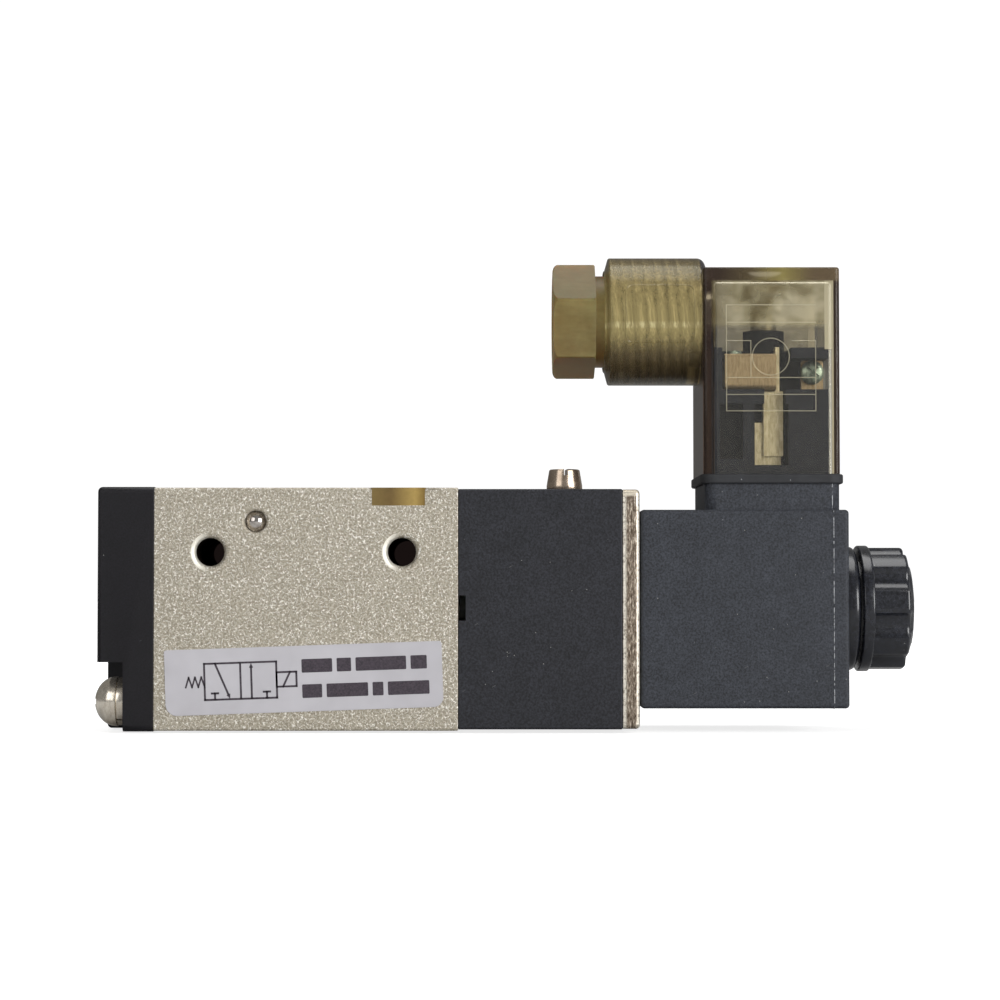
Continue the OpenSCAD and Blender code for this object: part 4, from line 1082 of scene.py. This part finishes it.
def wound_spring(name, node, axis, wire_r, turns):
    """Round-wire coil spring with closed ends, given a mesh of its own."""
    lo, hi = box_mm(node)
    index = "XYZ".index(axis)
    centre = (lo + hi) / 2
    across = [i for i in range(3) if i != index]
    path_r = (hi[across[0]] - lo[across[0]]) / 2 - wire_r
    length = hi[index] - lo[index] - 2 * wire_r
    origin = [0 if i == index else centre[i] for i in range(3)]
    path = []
    steps = int((turns + 1.5) * 28)
    for i in range(steps + 1):
        s = i / steps
        eased = min(max((s * (turns + 1.5) - 0.75) / turns, 0.0), 1.0)
        t = TAU * (turns + 1.5) * s
        along = lo[index] + wire_r + length * eased
        path.append(on_axis(axis, along, path_r * math.cos(t), path_r * math.sin(t), origin))
    coil = sweep(name, path, round_section(wire_r, 10))
    finish_piece(coil, node, MATERIALS["polished_steel"], 60)
    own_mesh(coil)


# ---- Connector ---------------------------------------------------------------------------------


def plate_line(x0, z0, x1, z1, y, width=0.1, height=0.06):
    """Thin raised moulding line on the connector's front face."""
    lo = (min(x0, x1) - width / 2, y - height, min(z0, z1) - width / 2)
    hi = (max(x0, x1) + width / 2, y + 0.2, max(z0, z1) + width / 2)
    return bar("line", lo, hi)


def moulded_outlines(shell, top):
    """Raised outlines on the clear front face: a frame, its bars and a ring; top is the housing's top."""
    y = CONN_LO.y
    left, right, post = CONN_X - 4.9, CONN_X + 5.08, CONN_X - 2.17
    rows = [top - 4.08, top - 6.03, top - 8.1, top - 12.23, top - 14.13, top - 15.97]
    lines = [(left, rows[i], right, rows[i]) for i in (0, 1, 3, 4, 5)]
    lines += [(left, rows[2], post, rows[2]), (right - 2.6, rows[2], right, rows[2])]
    uprights = ((left, 0, 5), (right, 2, 5), (post, 2, 3))
    lines += [(x, rows[upper], x, rows[lower]) for x, upper, lower in uprights]
    for line in lines:
        join(shell, plate_line(*line, y))
    ring_r = 2.02
    profile = [(y - 0.06, ring_r), (y - 0.06, ring_r + 0.1), (y + 0.2, ring_r + 0.1), (y + 0.2, ring_r)]
    join(shell, lathe("ring", profile, (CONN_X + 0.06, 0, top - 9.89), "Y", 64, ring=True))


def barrel_outline(shell, barrel_r, left, right):
    """Raised rounded outline that follows the barrel's front."""
    low, high, corner = -3.0, 3.5, 0.8
    points = []
    corners = ((right, high, 0), (left, high, 90), (left, low, 180), (right, low, 270))
    for cx, cz, start in corners:
        sx = -1 if cx == right else 1
        sz = -1 if cz == high else 1
        for i in range(7):
            a = math.radians(start + 15 * i)
            points.append((cx + sx * corner + corner * math.cos(a), cz + sz * corner + corner * math.sin(a)))
    dense = []
    for (x0, z0), (x1, z1) in zip(points, points[1:] + points[:1]):
        count = max(1, int(math.hypot(x1 - x0, z1 - z0) / 0.4))
        dense += [(x0 + (x1 - x0) * k / count, z0 + (z1 - z0) * k / count) for k in range(count)]
    path = []
    for x, z in dense:
        path.append(Vector((x, SPOOL_Y - math.sqrt(barrel_r**2 - z * z) + 0.01, GLAND_Z + z)))
    join(shell, sweep("outline", path, round_section(0.09, 6), closed=True))


def clear_shell():
    """Clear connector housing: hollow block, threaded cable barrel, screw boss and moulded outlines."""
    wall, top_wall, barrel_r = 0.9, 1.6, 7.3
    barrel_left = CONN_LO.x
    barrel_right = BLOCK_LEFT + 0.7
    axis_at = (0, SPOOL_Y, GLAND_Z)
    lo = Vector((BLOCK_LEFT, CONN_LO.y, CONN_LO.z))
    hi = Vector((BLOCK_RIGHT, CONN_HI.y, BLOCK_TOP))
    shell = bar("clear_shell", lo, hi, "Z", 0.5, (0, 0.3), 6)
    profile = [(barrel_left, 0), (barrel_left, 5.76), (barrel_left + 0.14, 5.9)]
    profile += [(barrel_left + 0.5, barrel_r - 0.12), (barrel_left + 0.64, barrel_r)]
    profile += arc((barrel_right - 0.9, barrel_r - 0.9), 0.9, 90, 10, 7)
    profile += [(barrel_right + 0.02, 0)]
    join(shell, lathe("barrel", profile, axis_at, "X", 128))
    moulded_outlines(shell, hi.z - 0.2)
    barrel_outline(shell, barrel_r, barrel_left + 2.3, barrel_right - 1.6)
    cavity_lo = (lo.x + 1.2, lo.y + wall, lo.z - 1)
    cavity_hi = (hi.x - 0.8, hi.y - wall, hi.z - top_wall)
    cavity = bar("cavity", cavity_lo, cavity_hi, "Z", 0.5, (0, 0.35), 4)
    boss_top = hi.z - top_wall
    boss_r = 3.6
    boss = [(boss_top - 3, 0), (boss_top - 3, boss_r - 0.2), (boss_top - 2.8, boss_r)]
    boss += [(boss_top + 1, boss_r), (boss_top + 1, 0)]
    cut(shell, cut(cavity, lathe("boss", boss, (CONN_X, SPOOL_Y, 0), "Z", 64)))
    bush_lo, bush_hi = box_mm("gland_bush")
    nut_r, bush_r, cable_r = 5.66, 5.25, 3.5
    bore = [(barrel_left - 1, 0), (barrel_left - 1, nut_r), (bush_lo.x, nut_r), (bush_lo.x, bush_r)]
    bore += [(bush_hi.x, bush_r), (bush_hi.x, cable_r), (lo.x + 1.4, cable_r), (lo.x + 1.4, 0)]
    cut(shell, lathe("bore", bore, axis_at, "X", 96))
    thread = thread_section(5.1, 6.2, 1.16, 0.2)
    cut(shell, helix("thread", barrel_left + 0.4, bush_hi.x - 0.1, GLAND_PITCH, thread, axis_at, "X", 72))
    recess_floor = box_mm("connector_screw_seal")[0].z - 0.02
    shank_r, head_r, mouth_r = 1.75, 2.9, 3.15
    recess = [(boss_top - 4, 0), (boss_top - 4, shank_r), (recess_floor, shank_r), (recess_floor, head_r)]
    recess += [(hi.z - 0.15, head_r), (hi.z + 0.1, mouth_r), (hi.z + 1, mouth_r), (hi.z + 1, 0)]
    cut(shell, lathe("recess", recess, (CONN_X, SPOOL_Y, 0), "Z", 64))
    finish_piece(shell, "connector_housing", angle=30)


def hex_nut():
    """Gland nut: chamfered hexagon, neck and male thread."""
    lo, hi = GLAND_LO, GLAND_HI
    across_flats = 11.5
    corner_r = across_flats / 2 / math.cos(math.radians(30))
    axis_at = (0, SPOOL_Y, GLAND_Z)
    hex_right = lo.x + 4.8
    bm = bmesh.new()
    ends = []
    turns = [math.radians(43 + 60 * i) for i in range(6)]
    corners = [(corner_r * math.cos(t), corner_r * math.sin(t)) for t in turns]
    for x in (lo.x, hex_right):
        ends.append([bm.verts.new(on_axis("X", x, u, v, axis_at)) for u, v in corners])
    for i in range(6):
        j = (i + 1) % 6
        bm.faces.new([ends[0][i], ends[0][j], ends[1][j], ends[1][i]])
    for end in ends:
        bm.faces.new(end)
    long_edges = [e for e in bm.edges if abs(e.verts[0].co.x - e.verts[1].co.x) > 1]
    bmesh.ops.bevel(bm, geom=long_edges, offset=0.18, segments=3, profile=0.5, affect="EDGES")
    hexagon = mesh_object("hex_gland_nut", bm)
    chamfer = [(lo.x, 0), (lo.x, corner_r - 0.75)] + arc((lo.x + 0.9, corner_r - 0.85), 0.9, 172, 95, 6)
    chamfer += [(hex_right - 0.25, corner_r + 0.1), (hex_right, corner_r - 0.2), (hex_right, 0)]
    trim(hexagon, lathe("chamfer", chamfer, axis_at, "X", 128))
    neck_end = CONN_LO.x + 0.6
    neck_r, thread_root = 5.25, 5.05
    stem = [(hex_right - 0.4, 0), (hex_right - 0.4, neck_r), (neck_end, neck_r)]
    stem += [(neck_end + 0.1, thread_root), (hi.x - 0.3, thread_root), (hi.x, 4.7), (hi.x, 0)]
    join(hexagon, lathe("stem", stem, axis_at, "X", 96))
    thread = thread_section(4.95, 5.6, 1.1, 0.2)
    join(hexagon, helix("thread", neck_end + 0.6, hi.x - 0.65, GLAND_PITCH, thread, axis_at, "X", 72))
    mouth_r, hole_r = 3.95, 3.25
    hole = [(lo.x - 1, 0), (lo.x - 1, mouth_r), (lo.x, mouth_r), (lo.x + 0.7, hole_r)]
    hole += [(hi.x + 1, hole_r), (hi.x + 1, 0)]
    cut(hexagon, lathe("hole", hole, axis_at, "X", 96))
    finish_piece(hexagon, "gland_nut", angle=28)


def soft_gasket():
    """Flat gasket with a skirt, its outer edges rounded."""
    lo, hi = box_mm("connector_gasket")
    gasket = cad_copy("skirt_gasket", "connector_gasket")
    trim(gasket, bar("edges", lo, hi, "Z", 1.72, (0.22, 0.22), 6))
    finish_piece(gasket, "connector_gasket")


def wire_clamp(name, lo, hi):
    """Wire cage bent from strip: rounded corners outside and in."""
    sheet = 0.6
    cage = bar(name, lo, hi, "X", 0.55, (0.04, 0.04), 5)
    inside_lo = (lo[0] - 1, lo[1] + sheet, lo[2] + sheet)
    inside_hi = (hi[0] + 1, hi[1] - sheet, hi[2] - sheet)
    cut(cage, bar("inside", inside_lo, inside_hi, "X", 0.2, (0, 0), 4))
    seam_y = (lo[1] + hi[1]) / 2 + 0.9
    cut(cage, bar("seam", (lo[0] - 1, seam_y - 0.05, lo[2] - 1), (hi[0] + 1, seam_y + 0.05, lo[2] + 0.35)))
    return cage


def clamps():
    lo, hi = box_mm("terminal_clamps")
    cage_len = 5.8
    depth, height = 3.9, hi.z - lo.z
    screw_x = box_mm("terminal_screws")[0].x + 1
    front = wire_clamp("wire_clamps", (lo.x, lo.y, lo.z), (lo.x + cage_len, lo.y + depth, hi.z))
    rear = wire_clamp("rear", (lo.x, hi.y - depth, lo.z), (lo.x + cage_len, hi.y, hi.z))
    for cage, y in ((front, lo.y + depth / 2), (rear, hi.y - depth / 2)):
        cut(cage, rod("hole", lo.z + height - 1.2, hi.z + 1, 1.02, (screw_x, y, 0), "Z", 40))
    join(front, rear)
    plate_lo = (hi.x - 2.5, SPOOL_Y - 4.4, lo.z)
    plate_hi = (hi.x, SPOOL_Y - 3.8, hi.z - 0.65)
    plate = bar("earth_plate", plate_lo, plate_hi, "Y", 0.3, (0.06, 0.06), 4)
    earth = earth_screw_centre()
    cut(plate, rod("hole", SPOOL_Y - 5.4, SPOOL_Y - 3, 1.02, (earth[0], 0, earth[1]), "Y", 40))
    join(front, plate)
    finish_piece(front, "terminal_clamps", CLAMP_BRASS, 30)


def earth_screw_centre():
    """(x, z) of the front-facing earth screw: its head makes the node's right edge."""
    return box_mm("terminal_screws")[1].x - EARTH_HEAD_R, box_mm("terminal_clamps")[0].z + 2.0


def small_screws():
    """Two grub screws in the clamps and a domed earth screw."""
    lo, hi = box_mm("terminal_screws")
    clamp_lo, clamp_hi = box_mm("terminal_clamps")
    x = lo.x + 1
    made = []
    for y in (clamp_lo.y + 1.95, clamp_hi.y - 1.95):
        profile = [(hi.z - 2.7, 0), (hi.z - 2.7, 0.7), (hi.z - 2.45, 0.86), (hi.z - 0.12, 0.86)]
        profile += [(hi.z, 0.76), (hi.z, 0)]
        screw = lathe("small_screws", profile, (x, y, 0), "Z", 40)
        thread = thread_section(0.8, 0.99, 0.36, 0.08)
        join(screw, helix("thread", hi.z - 2.3, hi.z - 0.3, 0.4, thread, (x, y, 0), "Z", 28))
        cut(screw, bar("slot", (x - 1.5, y - 0.17, hi.z - 0.5), (x + 1.5, y + 0.17, hi.z + 1)))
        made.append(screw)
    ex, ez = earth_screw_centre()
    front, seat, tip = SPOOL_Y - 5.4, SPOOL_Y - 4.42, SPOOL_Y - 1.2
    head_r, shank_r = EARTH_HEAD_R, 0.98
    profile = dome_profile(front, 0.55, head_r, 10)
    profile += [(seat, head_r), (seat, shank_r), (tip - 0.3, shank_r), (tip, 0.6), (tip, 0)]
    earth = lathe("earth", profile, (ex, 0, ez), "Y", 56)
    for width, height in ((1.7, 0.34), (0.34, 1.7)):
        tool = bar("cross", (-width / 2, front - 1, -height / 2), (width / 2, front + 0.5, height / 2))
        tool.data.transform(Matrix.Translation((ex, 0, ez)) @ Matrix.Rotation(math.radians(40), 4, "Y"))
        cut(earth, tool)
    join(made[0], made[1], earth)
    finish_piece(made[0], "terminal_screws", angle=40)


# ---- Label -------------------------------------------------------------------------------------


INK_THICKNESS = 0.012


def flat_shape(name, outline, thickness=INK_THICKNESS):
    """Thin plate standing off the XZ plane towards -Y; the outline is [(x, z)]."""
    bm = bmesh.new()
    front = [bm.verts.new((x, -thickness, z)) for x, z in outline]
    back = [bm.verts.new((x, 0, z)) for x, z in outline]
    bm.faces.new(front)
    bm.faces.new(back)
    for i in range(len(outline)):
        j = (i + 1) % len(outline)
        bm.faces.new([front[i], front[j], back[j], back[i]])
    return mesh_object(name, bm)


def rounded_outline(w, h, radii):
    """Rectangle outline about the origin; radii are top right, top left, bottom left, bottom right."""
    points = []
    for (sx, sz), r, start in zip(((1, 1), (-1, 1), (-1, -1), (1, -1)), radii, (0, 90, 180, 270)):
        cx, cz = sx * (w / 2 - r), sz * (h / 2 - r)
        points += arc((cx, cz), r, start, start + 90, 8)
    return points


def stroke(x0, z0, x1, z1, width=0.22):
    """Ink line between two points."""
    along = Vector((x1 - x0, z1 - z0)).normalized() * width / 2
    n = Vector((-along.y, along.x))
    start, end = Vector((x0, z0)) - along, Vector((x1, z1)) + along
    outline = [tuple(p) for p in (start + n, start - n, end - n, end + n)]
    return flat_shape("stroke", outline)


def arrow(x0, z0, x1, z1, size=0.55):
    """Ink line with a solid head at its second point."""
    along = Vector((x1 - x0, z1 - z0)).normalized()
    n = Vector((-along.y, along.x)) * size * 0.42
    base = Vector((x1, z1)) - along * size
    head = flat_shape("head", [(x1, z1), (base.x + n.x, base.y + n.y), (base.x - n.x, base.y - n.y)])
    return [stroke(x0, z0, base.x, base.y), head]


def stroked_box(x0, z0, x1, z1):
    corners = [(x0, z0), (x1, z0), (x1, z1), (x0, z1)]
    return [stroke(*a, *b) for a, b in zip(corners, corners[1:] + corners[:1])]


def valve_symbol(cx, cz, side):
    """Generic 3/2 valve diagram: two squares, flow arrows, blocked ports, solenoid and spring."""
    half = side / 2
    marks = []
    for left in (cx - side, cx):
        marks += stroked_box(left, cz - half, left + side, cz + half)
    marks += arrow(cx + side * 0.3, cz - half, cx + side * 0.3, cz + half - 0.05)
    marks += arrow(cx - side * 0.7, cz + half, cx - side * 0.3, cz - half + 0.05)
    for x in (cx + side * 0.72, cx - side * 0.72):
        marks.append(stroke(x, cz - half, x, cz - half + 0.7))
        marks.append(stroke(x - 0.35, cz - half + 0.7, x + 0.35, cz - half + 0.7))
    zig = [(cx - side - 0.35 * i, cz + (0.55 if i % 2 else -0.55)) for i in range(7)]
    marks += [stroke(*a, *b, 0.18) for a, b in zip(zig, zig[1:])]
    right = cx + side
    marks += stroked_box(right, cz - 0.8, right + 2.2, cz + 0.8)
    marks.append(stroke(right + 0.7, cz - 0.8, right + 1.5, cz + 0.8))
    return marks


def bars_row(left, z, lengths, height, gap):
    """Row of plain solid bars."""
    marks = []
    x = left
    for length in lengths:
        outline = [(x + length / 2 + u, z + v) for u, v in rounded_outline(length, height, (0.12,) * 4)]
        marks.append(flat_shape("bar", outline))
        x += length + gap
    return marks


def place_on_label(obj, lift):
    """Turns a flat drawing to the label's tilt and sets it on the front face."""
    lo, hi = box_mm("label")
    tilt = math.radians(2)
    centre = (lo + hi) / 2
    face = hi.y
    obj.data.transform(Matrix.Translation((centre.x, face - lift, centre.z)) @ Matrix.Rotation(-tilt, 4, "Y"))


def label():
    """Self-adhesive film with uneven corners and a generic print."""
    w, h = 30.8, 7.3
    film = flat_shape("label_film", rounded_outline(w, h, (0.3, 0.25, 1.3, 1.1)), 0.09)
    place_on_label(film, 0.0)
    finish_piece(film, "label")
    marks = valve_symbol(-7.0, 0.0, 4.0)
    marks += bars_row(-0.2, 1.4, (3.4, 1.6, 5.6, 1.8), 1.5, 0.5)
    marks += bars_row(-0.2, -1.4, (2.2, 4.6, 1.2, 4.6), 1.5, 0.5)
    bm = bmesh.new()
    for mark in marks:
        bm.from_mesh(mark.data)
        bpy.data.objects.remove(mark)
    ink = mesh_object("label_print", bm)
    place_on_label(ink, 0.088)
    ink.data.transform(Matrix.Scale(MM, 4))
    ink.data.materials.append(INK)
    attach(ink, BODY_OF["label"])


# ---- Stage, light and camera -------------------------------------------------------------------


def hole_shade():
    """Painted shade behind each side hole: a dark card shown only to a camera in front."""
    holes = mount_named("side_holes")
    look = Look("hole_shade")
    dark = look.add("Emission", {"Color": linear(24, 18, 17)})
    front = look.outside(look.add("NewGeometry").outputs["Backfacing"])
    shown = look.times(look.add("LightPath").outputs["Is Camera Ray"], front)
    clear = look.add("BsdfTransparent")
    mixed = look.add("MixShader", {0: shown, 1: clear.outputs[0], 2: dark.outputs[0]})
    material = look.done(mixed.outputs[0])
    radius = (holes["dims"]["hole_r_mm"] + 0.55) * MM
    behind = box_mm("valve_body")[1].y * MM + 0.00003
    for side in (-1, 1):
        x = side * holes["dims"]["spacing_x_mm"] / 2 * MM
        bpy.ops.mesh.primitive_circle_add(
            radius=radius, fill_type="NGON", location=(x, behind, 0), rotation=(math.radians(90), 0, 0)
        )
        card = bpy.context.object
        card.name = f"hole_shade_{side + 1}"
        card.data.materials.append(material)


def stage():
    """Pale floor under the valve."""
    just_below = cad_bounds[0].z - 0.2 * MM
    bpy.ops.mesh.primitive_plane_add(size=6, location=(0, 0, just_below))
    floor = bpy.context.object
    floor.name = "floor"
    look = Look("floor")
    diffuse = look.add("BsdfDiffuse", {"Color": (0.6, 0.6, 0.6)})
    near, far, dim, bright = 0.06, 0.25, 0.78, 1.1
    away = look.length(look.place)
    strength = look.add("MapRange", {0: away, 1: near, 2: far, 3: dim, 4: bright}).outputs[0]
    seen = look.times(look.add("LightPath").outputs["Is Camera Ray"], strength)
    glow = look.add("Emission", {"Color": (1.0, 1.0, 1.0), "Strength": seen})
    both = look.add("AddShader", {0: diffuse.outputs[0], 1: glow.outputs[0]})
    floor.data.materials.append(look.done(both.outputs[0]))
    hole_shade()


def world():
    """White surroundings: plain to the camera and through glass, brighter from the right for reflections."""
    look = Look("studio", world=True)
    left_to_right = look.add("SeparateXYZ", {0: look.place}).outputs["X"]
    shift = look.add("Math", {0: left_to_right, 1: 0.5, 2: 0.5}, operation="MULTIPLY_ADD").outputs[0]
    tone = look.ramp(shift, (0.1, (0.55, 0.54, 0.52)), (0.85, 1.0))
    room = look.add("Background", {"Color": tone, "Strength": 0.3})
    seen = look.add("Background", {"Color": (1.0, 1.0, 1.0), "Strength": 1.05})
    path = look.add("LightPath").outputs
    plain = look.most(path["Is Camera Ray"], path["Is Transmission Ray"])
    mixed = look.add("MixShader", {0: plain, 1: room.outputs[0], 2: seen.outputs[0]})
    bpy.context.scene.world = look.done(mixed.outputs[0])


def soft_light(name, place, target, size, power):
    data = bpy.data.lights.new(name, "AREA")
    data.shape = "RECTANGLE"
    data.size, data.size_y = size
    data.energy = power
    lamp = bpy.data.objects.new(name, data)
    bpy.context.scene.collection.objects.link(lamp)
    lamp.location = place
    lamp.rotation_mode = "QUATERNION"
    lamp.rotation_quaternion = (Vector(target) - Vector(place)).to_track_quat("-Z", "Y")


def lights():
    centre = (0.02, -0.009, 0.0)
    soft_light("key", (0.42, -0.42, 0.12), centre, (0.35, 0.35), 2.9)
    soft_light("fill", (-0.35, -0.5, 0.25), centre, (0.4, 0.4), 0.9)
    soft_light("top", (0.05, 0.05, 0.5), centre, (0.4, 0.3), 1.3)


def camera():
    """Facing the front, 280 mm away, a little below the picture's middle and tilted up to it."""
    frame_width, distance, sensor = 111.1, 280.0, 36.0
    view_x, view_z, drop = 21.56, 5.78, 10.0
    data = bpy.data.cameras.new("camera")
    data.sensor_width = sensor
    data.lens = sensor * distance / frame_width
    data.clip_start, data.clip_end = 0.01, 20
    cam = bpy.data.objects.new("camera", data)
    bpy.context.scene.collection.objects.link(cam)
    cam.location = (view_x * MM, (box_mm("valve_body")[0].y - distance) * MM, (view_z - drop) * MM)
    cam.rotation_euler = (math.radians(90) + math.atan(drop / distance), 0, 0)
    bpy.context.scene.camera = cam
    bpy.context.scene.view_settings.view_transform = "Standard"


# ---- Build -------------------------------------------------------------------------------------

for node, obj in frame["nodes"].items():
    obj.data.materials.clear()
    # The connector's fixing screw gets the darker, painted-shade screw plating.
    obj.data.materials.append(MATERIALS["shaded_screw" if node == "connector_screw" else SLOT_OF[node]])

body_block()
ball()
brass_plug()
cap_moulding()
pilot_moulding()
blanked_plate()
end_screws()
spring_washers()
override()
coil_body()
knob()
seal_disc()
threaded_tube()
wound_spring("return_coil", "return_spring", "X", 0.32, 4)
wound_spring("override_coil", "override_spring", "Z", 0.2, 2)
wound_spring("armature_coil", "armature_spring", "X", 0.2, 5)
clear_shell()
hex_nut()
soft_gasket()
clamps()
small_screws()
label()

stage()
world()
lights()
camera()
